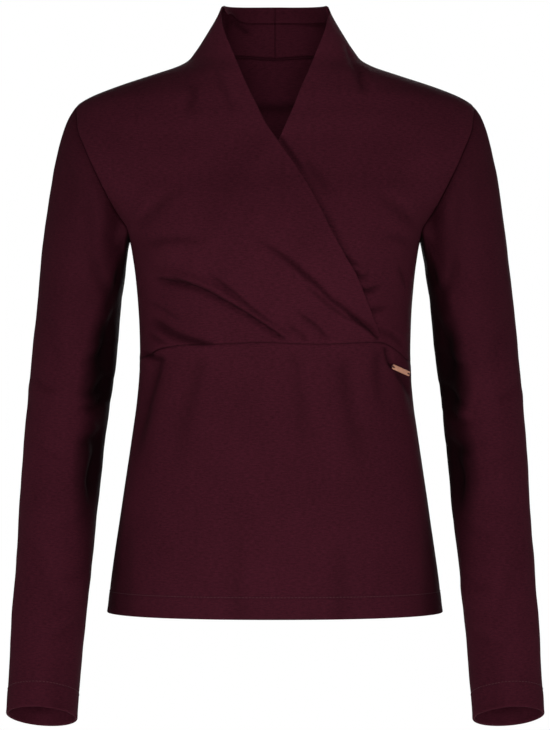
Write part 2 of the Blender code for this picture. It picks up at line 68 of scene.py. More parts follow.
TAG_WALL = 1.0
EYE_DISTANCE = 3200.0
EYE_Z = -303.0
NEAR = np.array([0.0, 0.3, 0.75, 1.4, 2.3, 3.6])  # grid lines beside an edge

# ---- the form: one row for each level ring -------------------------------------------------------
Ring = namedtuple("Ring", "z half_width front back middle power")
FORM = [
    Ring(66, 49.0, 50, 53, 10, 2.00),
    Ring(52, 54.5, 53, 56, 10, 2.00),
    Ring(28, 68.0, 58, 61, 9, 2.00),
    Ring(8, 81.0, 63, 66, 8, 2.00),
    Ring(0, 87.5, 66, 69, 8, 2.00),
    Ring(-5, 97.0, 68, 71, 8, 2.00),
    Ring(-14, 124.0, 72, 75, 7, 2.00),
    Ring(-26, 161.0, 77, 79, 7, 2.00),
    Ring(-38, 189.5, 82, 83, 6, 2.00),
    Ring(-44, 198.0, 84, 85, 6, 2.00),
    Ring(-60, 207.5, 90, 88, 5, 2.05),
    Ring(-80, 212.0, 96, 90, 5, 2.15),
    Ring(-100, 207.0, 102, 92, 4, 2.25),
    Ring(-120, 194.0, 108, 93, 4, 2.35),
    Ring(-135, 180.0, 113, 93, 3, 2.45),
    Ring(-150, 163.5, 117, 93, 3, 2.55),
    Ring(-163, 152.0, 120, 92, 3, 2.60),
    Ring(-176, 145.5, 121, 91, 2, 2.60),
    Ring(-198, 141.0, 121, 89, 2, 2.50),
    Ring(-234, 137.0, 113, 83, 1, 2.25),
    Ring(-270, 135.0, 99, 78, 0, 2.10),
    Ring(-306, 135.0, 92, 77, 0, 2.05),
    Ring(-342, 138.0, 92, 82, 0, 2.05),
    Ring(-378, 143.0, 95, 89, 0, 2.10),
    Ring(-450, 153.5, 102, 100, 0, 2.15),
    Ring(-522, 163.5, 106, 104, 0, 2.20),
    Ring(-566, 168.0, 108, 105, 0, 2.20),
]

# ---- seams and edges on the form, as seen from the front ------------------------------------------
Spot = namedtuple("Spot", "x z")
WRAP_EDGE = [  # free edge of the outer wrap, from the collar's corner down to the waist seam
    Spot(-54.5, 50), Spot(-51.5, 34), Spot(-49.5, 28), Spot(-44.5, 16), Spot(-39.5, 4), Spot(-34.5, -8),
    Spot(-26.5, -26), Spot(-17.5, -44), Spot(-8.5, -62), Spot(-0.5, -74), Spot(7.5, -86), Spot(15, -96),
    Spot(39, -134), Spot(56, -168), Spot(70, -194), Spot(80, -211), Spot(90, -235), Spot(97, -253), Spot(107, -279.3),
]
UNDER_EDGE = [  # the underlap's free edge, mirrored onto the same side; it goes under the wrap below z -80
    Spot(-54.5, 50), Spot(-50.5, 34), Spot(-48.5, 28), Spot(-43.5, 16), Spot(-38.5, 4), Spot(-33.5, -8),
    Spot(-25.5, -26), Spot(-18.5, -44), Spot(-10.5, -62), Spot(-5, -74), Spot(4, -87), Spot(13, -98),
    Spot(37, -134), Spot(55, -168), Spot(69, -194), Spot(88, -235), Spot(106, -279),
]
WAIST = [  # waist seam, side to side
    Spot(-135, -299), Spot(-126, -293), Spot(-114, -286.5), Spot(-88, -282), Spot(-56, -281.6), Spot(-13, -279.3),
    Spot(12, -281), Spot(46, -282), Spot(88, -280), Spot(106, -279.5), Spot(120, -287), Spot(131, -298), Spot(135, -301),
]
ARMHOLE = [  # front of the armhole
    Spot(-198.2, -43.5), Spot(-198.6, -52), Spot(-197.5, -65), Spot(-190.5, -85), Spot(-180.5, -108),
    Spot(-169.0, -131), Spot(-155.5, -154), Spot(-146.6, -169), Spot(-145.6, -176),
]
NeckPoint = namedtuple("NeckPoint", "angle z")
BACK_NECK = [NeckPoint(183, 0), NeckPoint(200, 5.5), NeckPoint(225, 10.8), NeckPoint(245, 12), NeckPoint(270, 10.5)]

# ---- the sleeve: one row for each ring, from the armhole to the cuff --------------------------------
Cuff = namedtuple("Cuff", "outer_x outer_z inner_x inner_z middle_y half_depth lean")
SLEEVE = [
    Cuff(-198.2, -43.5, -147.6, -176.0, 4, 51, 0),
    Cuff(-204.5, -52.0, -147.8, -178.5, 4, 53, 0),
    Cuff(-209.5, -63.0, -148.1, -182.0, 4, 54, 0),
    Cuff(-214.5, -80.0, -148.4, -187.0, 4, 54, 0),
    Cuff(-219.5, -102.0, -148.9, -194.0, 5, 54, 0),
    Cuff(-224.0, -128.0, -149.7, -203.0, 5, 54, 0),
    Cuff(-228.5, -160.0, -150.6, -216.0, 6, 54, 0),
    Cuff(-232.5, -198.0, -152.4, -234.0, 8, 53, 0),
    Cuff(-237.5, -244.0, -155.4, -264.0, 9, 52, 1),
    Cuff(-242.5, -294.0, -160.4, -304.0, 9, 51, 4),
    Cuff(-247.0, -339.0, -165.6, -346.0, 6, 50, 9),
    Cuff(-250.3, -378.0, -170.5, -386.0, -1, 48, 14),
    Cuff(-254.0, -436.0, -177.3, -443.0, -17, 45, 19),
    Cuff(-259.0, -508.0, -185.2, -514.0, -42, 41, 21),
    Cuff(-264.2, -584.0, -192.7, -589.0, -70, 38, 21),
    Cuff(-267.6, -652.5, -198.6, -656.5, -96, 36, 21),
]

Fold = namedtuple("Fold", "x0 z0 x1 z1 x2 z2 depth width")
BODY_FOLDS = [
    Fold(-112, -220, -70, -231, 10, -278, 2.2, 10),
    Fold(-62, -217, -26, -247, 26, -274, 1.6, 9),
    Fold(-18, -175, 36, -218, 102, -276, 1.8, 9),
    Fold(-124, -262, -106, -270, -86, -278, 2.6, 12),
    Fold(-118, -300, -134, -350, -141, -405, 2.4, 13),
    Fold(128, -246, 112, -244, 92, -262, 1.6, 9),
]
ArmFold = namedtuple("ArmFold", "z angle depth width_z width_angle")
ARM_FOLDS = [  # dents at the inner elbow and under the arm, angle round the sleeve from its outer side over the front
    ArmFold(-352, 150, 4.0, 22, 28),
    ArmFold(-384, 158, 3.6, 14, 26),
    ArmFold(-412, 150, 2.6, 13, 24),
    ArmFold(-250, 158, 2.4, 30, 22),
]
BODY_FOLDS_FADE = 0.55
BODY_STRENGTH = 1.45
ARM_STRENGTH = 1.2

# ---- creases: a soft trough along each path, with a ridge on one side of it ---------------------------
# side is 1 where the ridge lies to the right of the way the path runs, -1 to the left. head and tail are the shares
# of the length over which it fades in and out. w1 is the width at its end.
Crease = namedtuple("Crease", "path depth w0 w1 ridge side head tail")
FRONT = [
    # from the right side seam across to the middle of the waist
    Crease([(152, 281), (170, 282), (187, 285), (201, 289), (222, 300), (242, 311), (258, 321), (273, 331), (288, 342)], 4.5, 5.0, 2.6, 2.3, -1, 0.12, 0.08),
    Crease([(168, 270), (177, 277), (189, 282), (200, 286)], 1.6, 4.0, 3.0, 0.5, -1, 0.35, 0.35),
    Crease([(206, 272), (226, 287), (240, 298), (252, 308), (266, 318), (280, 327)], 2.6, 4.2, 2.4, 1.2, -1, 0.25, 0.30),
    # under the bust on the left
    Crease([(248, 228), (262, 240), (280, 252), (291, 260), (305, 273), (318, 284), (329, 296), (345, 308), (356, 319), (367, 327), (378, 339)], 2.6, 4.4, 2.8, 1.8, 1, 0.42, 0.05),
    Crease([(340, 305), (352, 315), (364, 325), (377, 338)], 2.0, 3.2, 2.6, 0.8, 1, 0.40, 0.06),
    Crease([(302, 281), (316, 293), (330, 305), (345, 316), (356, 326)], 2.1, 3.2, 2.4, 0.9, 1, 0.3, 0.3),
    Crease([(296, 310), (307, 319), (318, 328), (328, 340)], 2.4, 3.0, 2.2, 0.9, -1, 0.35, 0.10),
    Crease([(284, 321), (292, 328), (300, 333), (306, 341)], 1.7, 2.6, 2.0, 0.6, -1, 0.35, 0.15),
    # hollow above the seam at the right side
    Crease([(150, 316), (160, 324), (171, 331), (187, 337), (204, 341), (222, 341)], 3.1, 5.5, 4.0, 1.4, 1, 0.20, 0.30),
    Crease([(148, 330), (158, 338), (170, 343)], 1.6, 3.6, 3.0, 0.5, 1, 0.35, 0.35),
    Crease([(143, 300), (156, 306), (174, 316), (192, 326)], 1.2, 5.0, 4.0, 0.5, -1, 0.30, 0.45),
    Crease([(374, 330), (384, 332), (396, 338), (404, 348)], 1.5, 3.6, 3.0, 0.5, -1, 0.25, 0.35),
    Crease([(398, 262), (404, 276), (407, 292)], 1.1, 5.0, 4.0, 0.4, 1, 0.4, 0.4),
    # faint drag lines across the chest, from the underarm towards the neck edge
    Crease([(134, 232), (150, 216), (172, 196), (196, 182)], 1.5, 7.0, 9.0, 0.7, -1, 0.25, 0.55),
    Crease([(138, 246), (160, 240), (186, 238), (214, 242)], 1.2, 7.0, 8.0, 0.5, 1, 0.30, 0.50),
    Crease([(417, 230), (402, 214), (384, 200), (364, 190)], 1.4, 7.0, 9.0, 0.6, 1, 0.25, 0.55),
    Crease([(412, 246), (396, 238), (378, 236)], 1.1, 6.0, 7.0, 0.4, 1, 0.30, 0.50),
    Crease([(192, 78), (194, 90), (191, 106), (186, 122)], 1.5, 6.5, 8.0, 0.7, 1, 0.35, 0.50),
    Crease([(214, 62), (219, 80), (228, 100), (240, 122)], 1.0, 6.0, 9.0, 0.5, -1, 0.35, 0.50),
    Crease([(352, 62), (357, 72), (361, 84), (368, 100)], 1.7, 5.0, 7.0, 0.8, -1, 0.35, 0.45),
    Crease([(344, 40), (352, 62), (357, 72)], 1.0, 4.0, 5.0, 0.8, 1, 0.4, 0.4),
    Crease([(300, 150), (318, 172), (334, 200)], 0.9, 8.0, 9.0, 0.4, 1, 0.4, 0.4),
]
# their hollows also darken the colour as painted shade, where the wrap's edge shades the underlap
UNDERLAP = [  # on the underlap beside the wrap's edge
    Crease([(345, 257), (351, 262), (356, 263), (362, 261)], 2.8, 3.6, 3.0, 0.6, 1, 0.05, 0.70),
    Crease([(352, 272), (359, 277), (365, 277), (374, 272)], 2.8, 3.8, 3.0, 0.7, -1, 0.05, 0.72),
    Crease([(358, 291), (366, 292), (373, 290), (386, 283)], 3.6, 4.4, 3.2, 0.8, -1, 0.05, 0.72),
    Crease([(365, 313), (373, 311), (383, 308), (396, 306)], 2.4, 4.0, 3.0, 0.6, 1, 0.05, 0.70),
    Crease([(279, 134), (284, 142), (291, 152), (299, 164), (308, 179)], 2.8, 3.4, 2.6, 0.3, 1, 0.08, 0.55),
    Crease([(301, 170), (313, 191), (327, 217), (342, 247), (356, 277), (368, 305), (381, 337)], 2.6, 2.3, 2.6, 0.2, 1, 0.35, 0.03),
]
LOWER = [
    Crease([(140, 350), (150, 355), (158, 358), (168, 358)], 2.8, 4.0, 4.0, 0.8, 1, 0.25, 0.45),
    Crease([(162, 352), (157, 370), (150, 392), (144, 415), (138, 440), (133, 468)], 2.3, 8.0, 12.0, 1.1, -1, 0.12, 0.45),
    # beside the tag: its hollow also darkens the colour as painted shade where the tag shades the cloth
    Crease([(385, 345), (388, 354), (390, 362), (394, 369)], 3.4, 3.8, 3.0, 0.6, 1, 0.3, 0.2),
    Crease([(392, 370), (401, 376), (408, 386), (413, 400), (418, 424)], 2.8, 5.0, 8.0, 0.8, -1, 0.18, 0.50),
    Crease([(382, 346), (378, 366), (380, 392), (388, 424)], 1.1, 7.0, 11.0, 0.5, 1, 0.2, 0.6),
    Crease([(204, 350), (196, 384), (184, 430), (176, 486)], 1.1, 9.0, 15.0, 0.6, 1, 0.15, 0.55),
    Crease([(290, 346), (296, 380), (300, 424), (301, 470)], 0.9, 9.0, 16.0, 0.4, -1, 0.15, 0.60),
    Crease([(344, 350), (348, 392), (358, 446), (366, 500)], 1.0, 10.0, 15.0, 0.5, 1, 0.15, 0.55),
    Crease([(132, 500), (128, 540), (126, 585), (128, 620)], 1.2, 9.0, 11.0, 0.6, 1, 0.45, 0.10),
    Crease([(422, 500), (427, 540), (428, 590), (427, 620)], 1.4, 8.0, 11.0, 0.6, -1, 0.45, 0.10),
    Crease([(240, 520), (238, 560), (240, 600), (242, 622)], 0.7, 13.0, 15.0, 0.3, 1, 0.5, 0.1),
    Crease([(334, 530), (338, 570), (338, 622)], 0.8, 12.0, 14.0, 0.4, -1, 0.5, 0.1),
]
BEHIND = [
    # the first is mostly a painted shadow under the collar turn's curl, over a shallow dent
    Crease([(229, 18), (240, 26), (252, 35)], 1.2, 5.0, 4.5, 0.0, 1, 0.3, 0.35),  # the back, seen through from the front
    Crease([(140, 300), (170, 306), (206, 318), (240, 334), (262, 344)], 2.4, 6.0, 7.0, 1.0, -1, 0.2, 0.35),
    Crease([(410, 296), (382, 304), (350, 318), (318, 330), (292, 338)], 2.6, 6.0, 7.5, 1.1, 1, 0.2, 0.35),
    Crease([(138, 326), (168, 338), (204, 350), (246, 356)], 2.0, 5.5, 8.0, 0.8, -1, 0.2, 0.4),
    Crease([(412, 328), (388, 340), (352, 352), (322, 362)], 1.8, 5.5, 8.0, 0.8, 1, 0.2, 0.4),
    Crease([(142, 360), (172, 366), (210, 372)], 1.5, 6.0, 8.0, 0.5, -1, 0.2, 0.5),
    Crease([(410, 366), (380, 376), (344, 380)], 1.4, 6.0, 8.0, 0.5, 1, 0.2, 0.5),
    Crease([(226, 300), (262, 312), (300, 310), (332, 300)], 1.3, 7.0, 8.0, 0.6, 1, 0.4, 0.4),
    Crease([(132, 238), (158, 218), (186, 190), (210, 160)], 2.0, 8.0, 11.0, 0.9, -1, 0.2, 0.5),
    Crease([(418, 240), (394, 222), (366, 194), (344, 160)], 1.9, 8.0, 11.0, 0.9, 1, 0.2, 0.5),
    Crease([(100, 160), (128, 140), (164, 126)], 1.6, 7.0, 10.0, 0.7, 1, 0.25, 0.5),
    Crease([(452, 158), (424, 140), (390, 128)], 1.5, 7.0, 10.0, 0.6, -1, 0.25, 0.5),
    Crease([(216, 84), (240, 100), (276, 106), (312, 100), (336, 86)], 1.1, 8.0, 8.0, 0.6, 1, 0.35, 0.35),
    Crease([(190, 392), (180, 440), (172, 500), (170, 560)], 1.4, 11.0, 16.0, 0.7, 1, 0.2, 0.4),
    Crease([(276, 372), (280, 430), (276, 500), (272, 600)], 1.3, 12.0, 18.0, 0.6, -1, 0.2, 0.2),
    Crease([(358, 390), (372, 446), (380, 510), (382, 600)], 1.4, 11.0, 16.0, 0.7, 1, 0.2, 0.2),
]
ARM_RIGHT = [  # the sleeve at the left of the view
    Crease([(129, 232), (124, 240), (118, 250), (110, 258)], 2.0, 4.5, 5.5, 0.8, -1, 0.15, 0.50),
    Crease([(84, 168), (86, 200), (90, 232), (93, 262), (90, 296)], 1.4, 6.5, 9.0, 0.9, -1, 0.35, 0.45),
    Crease([(122, 262), (117, 284), (108, 306), (98, 326)], 2.0, 6.0, 8.0, 0.9, 1, 0.25, 0.45),
    Crease([(119, 300), (113, 320), (106, 346), (102, 372)], 1.7, 6.0, 6.0, 0.8, 1, 0.3, 0.35),
    Crease([(116, 338), (104, 352), (88, 360), (70, 362)], 2.2, 5.0, 8.0, 1.0, 1, 0.15, 0.55),
    Crease([(112, 372), (104, 384), (92, 394), (76, 399)], 3.0, 5.0, 7.0, 1.3, 1, 0.12, 0.55),
    Crease([(110, 396), (100, 405), (88, 408), (74, 406)], 2.6, 4.5, 6.0, 1.0, 1, 0.12, 0.50),
    Crease([(106, 428), (98, 436), (86, 440), (70, 438)], 1.8, 5.0, 7.0, 0.8, 1, 0.15, 0.55),
    Crease([(104, 446), (98, 456), (92, 472), (89, 506)], 2.2, 5.0, 5.0, 0.8, 1, 0.25, 0.40),
    Crease([(38, 300), (48, 322), (56, 350), (56, 384)], 1.2, 8.0, 9.0, 0.6, -1, 0.4, 0.45),
    Crease([(32, 372), (46, 386), (62, 392)], 1.4, 6.0, 7.0, 0.6, 1, 0.3, 0.45),
    Crease([(28, 430), (42, 446), (60, 456), (76, 458)], 1.1, 7.0, 8.0, 0.5, -1, 0.3, 0.45),
    Crease([(94, 500), (82, 516), (62, 526), (40, 528)], 1.2, 7.0, 9.0, 0.6, 1, 0.25, 0.50),
    Crease([(22, 520), (34, 548), (48, 584), (56, 620)], 1.1, 8.0, 10.0, 0.6, 1, 0.35, 0.40),
    Crease([(88, 560), (74, 574), (54, 580)], 1.1, 6.0, 8.0, 0.5, -1, 0.3, 0.5),
    Crease([(84, 612), (70, 626), (52, 634), (34, 634)], 1.2, 6.0, 8.0, 0.6, 1, 0.25, 0.50),
    Crease([(64, 640), (60, 668), (58, 694), (60, 716)], 0.9, 9.0, 11.0, 0.4, 1, 0.4, 0.2),
    Crease([(72, 118), (80, 136), (86, 152), (88, 172)], 1.0, 6.0, 8.0, 0.6, -1, 0.3, 0.5),
    Crease([(66, 150), (72, 180), (74, 214)], 0.9, 9.0, 11.0, 0.4, 1, 0.4, 0.4),
]
ARM_LEFT = [  # the sleeve at the right of the view
    Crease([(421, 232), (427, 242), (434, 252), (444, 262)], 1.9, 4.5, 5.5, 0.8, 1, 0.15, 0.50),
    Crease([(466, 166), (463, 198), (458, 230), (456, 262), (460, 292)], 1.3, 6.5, 9.0, 0.8, 1, 0.35, 0.45),
    Crease([(428, 258), (434, 282), (444, 308), (455, 330)], 2.1, 6.0, 8.0, 0.9, -1, 0.25, 0.45),
    Crease([(432, 306), (438, 328), (446, 352), (449, 378)], 1.6, 6.0, 6.0, 0.8, -1, 0.3, 0.35),
    Crease([(434, 346), (446, 360), (462, 367), (480, 366)], 2.0, 5.0, 8.0, 0.9, -1, 0.15, 0.55),
    Crease([(437, 380), (446, 393), (458, 402), (474, 405)], 2.6, 5.0, 7.0, 1.2, -1, 0.12, 0.55),
    Crease([(440, 408), (450, 418), (462, 422), (478, 418)], 2.8, 4.5, 6.0, 1.0, -1, 0.12, 0.50),
    Crease([(444, 438), (452, 446), (464, 450), (480, 446)], 1.6, 5.0, 7.0, 0.7, -1, 0.15, 0.55),
    Crease([(446, 452), (453, 462), (459, 478), (461, 508)], 2.1, 5.0, 5.0, 0.8, -1, 0.25, 0.40),
    Crease([(514, 306), (503, 326), (496, 352), (497, 388)], 1.2, 8.0, 9.0, 0.6, 1, 0.4, 0.45),
    Crease([(519, 380), (506, 394), (490, 398)], 1.3, 6.0, 7.0, 0.6, -1, 0.3, 0.45),
    Crease([(522, 438), (509, 452), (492, 462), (476, 464)], 1.1, 7.0, 8.0, 0.5, 1, 0.3, 0.45),
    Crease([(455, 512), (468, 526), (488, 534), (508, 534)], 1.1, 7.0, 9.0, 0.6, -1, 0.25, 0.50),
    Crease([(528, 530), (517, 556), (504, 590), (496, 626)], 1.1, 8.0, 10.0, 0.6, -1, 0.35, 0.40),
    Crease([(462, 572), (476, 584), (496, 588)], 1.0, 6.0, 8.0, 0.5, 1, 0.3, 0.5),
    Crease([(466, 622), (480, 636), (498, 642), (516, 640)], 1.2, 6.0, 8.0, 0.6, -1, 0.25, 0.50),
    Crease([(488, 646), (491, 672), (493, 696), (491, 716)], 0.9, 9.0, 11.0, 0.4, -1, 0.4, 0.2),
    Crease([(478, 118), (471, 136), (465, 152), (463, 172)], 1.0, 6.0, 8.0, 0.6, 1, 0.3, 0.5),
    Crease([(484, 152), (478, 182), (477, 214)], 0.9, 9.0, 11.0, 0.4, -1, 0.4, 0.4),
]
ARM_DEEP = [  # long soft dark hollows down the inner side of the sleeve at the left of the view
    Crease([(106, 312), (105, 340), (103, 368), (104, 408)], 3.6, 8.0, 9.0, 1.0, 1, 0.30, 0.12),
    Crease([(101, 430), (97, 455), (94, 482), (92, 516)], 2.8, 8.0, 6.0, 0.7, 1, 0.16, 0.45),
    Crease([(92, 250), (100, 280), (112, 304)], 1.2, 6.0, 5.0, 0.5, -1, 0.35, 0.35),
    Crease([(125, 238), (121, 264), (117, 292)], 2.2, 5.0, 5.0, 0.5, 1, 0.20, 0.30),
]
ARM_DEEP_LEFT = [  # and of the one at the right of the view
    Crease([(444, 316), (447, 346), (448, 378), (448, 422)], 3.6, 8.0, 9.0, 1.0, -1, 0.30, 0.12),
    Crease([(452, 440), (455, 464), (457, 488), (459, 520)], 2.9, 8.0, 6.0, 0.7, -1, 0.16, 0.45),
    Crease([(458, 250), (451, 280), (439, 304)], 1.2, 6.0, 5.0, 0.5, 1, 0.35, 0.35),
    Crease([(425, 238), (429, 264), (433, 292)], 2.1, 5.0, 5.0, 0.5, -1, 0.20, 0.30),
]
ShadeRow = namedtuple("ShadeRow", "y start amount")
ARM_SHADE = [  # light lost between sleeve and trunk: how far the cloth faces the trunk where it starts, and how much
    ShadeRow(232, 0.70, 0.9), ShadeRow(262, 0.58, 1.2), ShadeRow(300, 0.50, 1.0), ShadeRow(340, 0.28, 1.5),
    ShadeRow(392, 0.22, 1.7), ShadeRow(418, 0.48, 1.1), ShadeRow(444, 0.30, 1.5), ShadeRow(484, 0.32, 1.4),
    ShadeRow(522, 0.52, 0.8), ShadeRow(570, 0.65, 0.4), ShadeRow(640, 0.70, 0.0),
]
ARM_BEHIND = [  # the backs of the sleeves, seen through from the front, for the one at the left of the view
    Crease([(128, 240), (112, 252), (92, 258), (70, 256)], 2.2, 6.0, 9.0, 1.0, 1, 0.15, 0.5),
    Crease([(122, 290), (106, 308), (84, 316)], 1.8, 6.0, 9.0, 0.8, 1, 0.2, 0.5),
    Crease([(114, 350), (96, 366), (72, 374), (50, 372)], 2.0, 6.0, 9.0, 0.9, 1, 0.15, 0.5),
    Crease([(110, 392), (90, 412), (64, 420), (42, 416)], 2.2, 6.0, 8.0, 1.0, 1, 0.15, 0.4),
    Crease([(104, 440), (84, 456), (58, 462)], 1.6, 6.0, 8.0, 0.7, 1, 0.2, 0.5),
    Crease([(96, 510), (74, 524), (48, 528)], 1.3, 7.0, 9.0, 0.6, 1, 0.25, 0.5),
    Crease([(88, 600), (66, 614), (42, 616)], 1.2, 7.0, 9.0, 0.6, 1, 0.25, 0.5),
]

# ---- helpers ----------------------------------------------------------------------------------------
FINE = 0.5


def smooth_table(rows, knots, at, spread):
    """Columns of a table at the places asked for: a cubic through the rows, then softened over spread."""
    rows = np.array(rows, float)
    knots = np.array(knots, float)
    step = np.diff(knots)
    rise = np.diff(rows, axis=0) / step[:, None]
    lean = np.vstack([rise[:1], (rise[:-1] * step[1:, None] + rise[1:] * step[:-1, None]) / (step[1:] + step[:-1])[:, None], rise[-1:]])
    place = np.clip(np.searchsorted(knots, at) - 1, 0, len(step) - 1)
    f = ((at - knots[place]) / step[place])[:, None]
    h = step[place][:, None]
    out = (
        rows[place] * (1 + 2 * f) * (1 - f) ** 2
        + lean[place] * h * f * (1 - f) ** 2
        + rows[place + 1] * f * f * (3 - 2 * f)
        + lean[place + 1] * h * f * f * (f - 1)
    )
    if not spread:
        return out
    gap = at[1] - at[0]
    reach = int(3 * spread / gap)
    weights = np.exp(-0.5 * (np.arange(-reach, reach + 1) * gap / spread) ** 2)
    weights /= weights.sum()
    ends = np.vstack([2 * out[0] - out[reach:0:-1], out, 2 * out[-1] - out[-2 : -reach - 2 : -1]])
    return np.column_stack([np.convolve(column, weights, "valid") for column in ends.T])


def through(points, at):
    """A smooth line through points, at fractions of its length."""
    points = np.array(points, float)
    along = np.concatenate([[0], np.cumsum(np.linalg.norm(np.diff(points, axis=0), axis=1))])
    return smooth_table(points, along / along[-1], np.atleast_1d(at), 0)


def ease(value):
    value = np.clip(value, 0.0, 1.0)
    return value * value * (3 - 2 * value)


FORM_Z = np.arange(-566.0, 66.01, 0.5)
FORM_ROWS = smooth_table([ring[1:] for ring in FORM[::-1]], [ring.z for ring in FORM[::-1]], FORM_Z, 2.5)


def ring_at(z):
    return [np.interp(z, FORM_Z, column) for column in FORM_ROWS.T]


def form_point(angle, z):
    """A point of the form: angle in degrees, 0 at +X, 90 at the front, 180 at -X, 270 at the back."""
    half_width, front, back, middle, power = ring_at(z)
    c, s = np.cos(np.radians(angle)), np.sin(np.radians(angle))
    reach = (np.abs(c) ** power + np.abs(s) ** power) ** (-1 / power)
    return np.stack([half_width * c * reach, middle - np.where(s > 0, front, back) * s * reach, z + 0 * c], -1)


def form_normal(angle, z):
    round_it = form_point(angle + 0.4, z) - form_point(angle - 0.4, z)
    down_it = form_point(angle, z - 0.75) - form_point(angle, z + 0.75)
    normal = np.cross(round_it, down_it)
    return normal / np.linalg.norm(normal, axis=-1, keepdims=True)


def form_angle(x, z, behind=False):
    """Angle and depth of the form's point at this width and height."""
    half_width, front, back, middle, power = ring_at(z)
    c = np.clip(x / half_width, -1, 1)
    s = (1 - np.abs(c) ** power) ** (1 / power)
    if behind:
        return np.degrees(np.arctan2(-s, c)) % 360, middle + back * s
    return np.degrees(np.arctan2(s, c)), middle - front * s


def unview(x, z, y):
    """Where a point seen at x, z stands, when it is at depth y."""
    k = (EYE_DISTANCE + y) / EYE_DISTANCE
    return x * k, EYE_Z + (z - EYE_Z) * k


def on_front(spots):
    """Angle and height of the spots on the front of the form."""
    seen = np.array(spots, float)
    y = np.full(len(seen), -60.0)
    for _ in range(30):
        x, z = unview(seen[:, 0], seen[:, 1], y)
        angle, y = form_angle(x, z)
    return np.column_stack([angle, z])


def waist_line():
    """The waist seam by angle, its corners softened."""
    line = on_front(WAIST)[::-1]
    line[0, 0], line[-1, 0] = 0, 180
    angles = np.arange(0, 180.5, 0.5)
    heights = np.interp(angles, line[:, 0], line[:, 1])
    return angles, smooth_table(heights[:, None], angles, angles, 3.5)[:, 0]


WAIST_ANGLES, WAIST_HEIGHTS = waist_line()
def waist_z(angle):
    return np.interp(angle, WAIST_ANGLES, WAIST_HEIGHTS)



def trough(x, z, fold):
    """How deep a fold is at x, z: deepest in its middle, fading along and across."""
    line = through([(fold.x0, fold.z0), (fold.x1, fold.z1), (fold.x2, fold.z2)], np.linspace(0, 1, 25))
    gap = np.hypot(x[..., None] - line[:, 0], z[..., None] - line[:, 1])
    near = gap.min(-1)
    along = gap.argmin(-1) / 24.0
    return fold.depth * np.exp(-((near / fold.width) ** 2)) * np.sin(np.pi * np.clip(along * 0.85 + 0.1, 0, 1)) ** 0.7


def body_dent(points):
    x, y, z = points[..., 0], points[..., 1], points[..., 2]
    dent = sum(trough(x, z, fold) for fold in BODY_FOLDS)
    return np.where(y < 0, dent, 0.0)


HOLE_TOP, HOLE_BOTTOM = ARMHOLE[0].z, ARMHOLE[-1].z


def armhole_knots():
    """Turn and angle on the form for the rows of the table, round the whole line."""
    front = on_front(ARMHOLE)
    place = form_point(front[:, 0], front[:, 1])
    behind, _ = form_angle(place[:, 0], place[:, 2], behind=True)
    mid, half = (HOLE_TOP + HOLE_BOTTOM) / 2, (HOLE_TOP - HOLE_BOTTOM) / 2
    turn = np.degrees(np.arccos(np.clip((front[:, 1] - mid) / half, -1, 1)))
    turn[0], turn[-1] = 0, 180
    ahead = front[:, 0]
    ahead[[0, -1]] = behind[[0, -1]] = 180
    return np.concatenate([-turn[::-1], turn[1:]]), np.concatenate([behind[::-1], ahead[1:]])


HOLE_TURN, HOLE_ANGLE = armhole_knots()


def armhole(turn, set_in=0.0):
    """Angle and height on the form, turn in degrees: 0 on the ridge, 90 front, 180 underarm, 270 back.
    set_in moves the line on the form towards the trunk."""
    turn = np.atleast_1d(np.asarray(turn, float))
    wrapped = (turn + 180) % 360 - 180
    wrapped = np.where((wrapped == -180) & (turn > 0), 180.0, wrapped)
    order = np.argsort(wrapped)
    angle = np.empty(len(turn))
    angle[order] = smooth_table(HOLE_ANGLE[:, None], HOLE_TURN, wrapped[order], 0)[:, 0]
    z = (HOLE_TOP + HOLE_BOTTOM) / 2 + (HOLE_TOP - HOLE_BOTTOM) / 2 * np.cos(np.radians(turn))
    if set_in:
        before, after = armhole(turn - 1.5), armhole(turn + 1.5)
        along = form_point(after[:, 0], after[:, 1]) - form_point(before[:, 0], before[:, 1])
        side = np.cross(form_normal(angle, z), along)
        side /= np.linalg.norm(side, axis=1, keepdims=True)
        by_angle = form_point(angle + 0.5, z) - form_point(angle - 0.5, z)
        by_z = form_point(angle, z + 0.5) - form_point(angle, z - 0.5)
        aa, zz, az = (by_angle**2).sum(1), (by_z**2).sum(1), (by_angle * by_z).sum(1)
        a, b = (by_angle * side).sum(1), (by_z * side).sum(1)
        whole = aa * zz - az * az
        angle = angle + set_in * (a * zz - b * az) / whole
        z = z + set_in * (b * aa - a * az) / whole
    return np.column_stack([angle, z])


def split(counts, ends):
    """Evenly spaced fractions between the ends, with counts[i] steps in part i."""
    parts = [np.linspace(a, b, n, endpoint=False) for a, b, n in zip(ends, ends[1:], counts)]
    return np.concatenate(parts + [[ends[-1]]])


def beside(line, gap):
    """A line of angle and height moved round the form by gap, towards larger angles."""
    per_degree = np.linalg.norm(form_point(line[:, 0] + 0.5, line[:, 1]) - form_point(line[:, 0] - 0.5, line[:, 1]), axis=1)
    return np.column_stack([line[:, 0] + gap / per_degree, line[:, 1]])


def under_edge_x(z):
    """Where the underlap's hidden edge runs under the outer wrap, at this height."""
    line = on_front(UNDER_EDGE)
    points = form_point(line[:, 0], line[:, 1]) * [-1, 1, 1]
    order = np.argsort(points[:, 2])
    return np.interp(z, points[order, 2], points[order, 0])


def wrap_lift(points):
    """The outer wrap rises where it lies on the underlap."""
    reach = points[..., 0] - under_edge_x(points[..., 2])
    return np.where(points[..., 1] < 0, LAP * ease((reach + LAP_RAMP) / LAP_RAMP), 0.0)


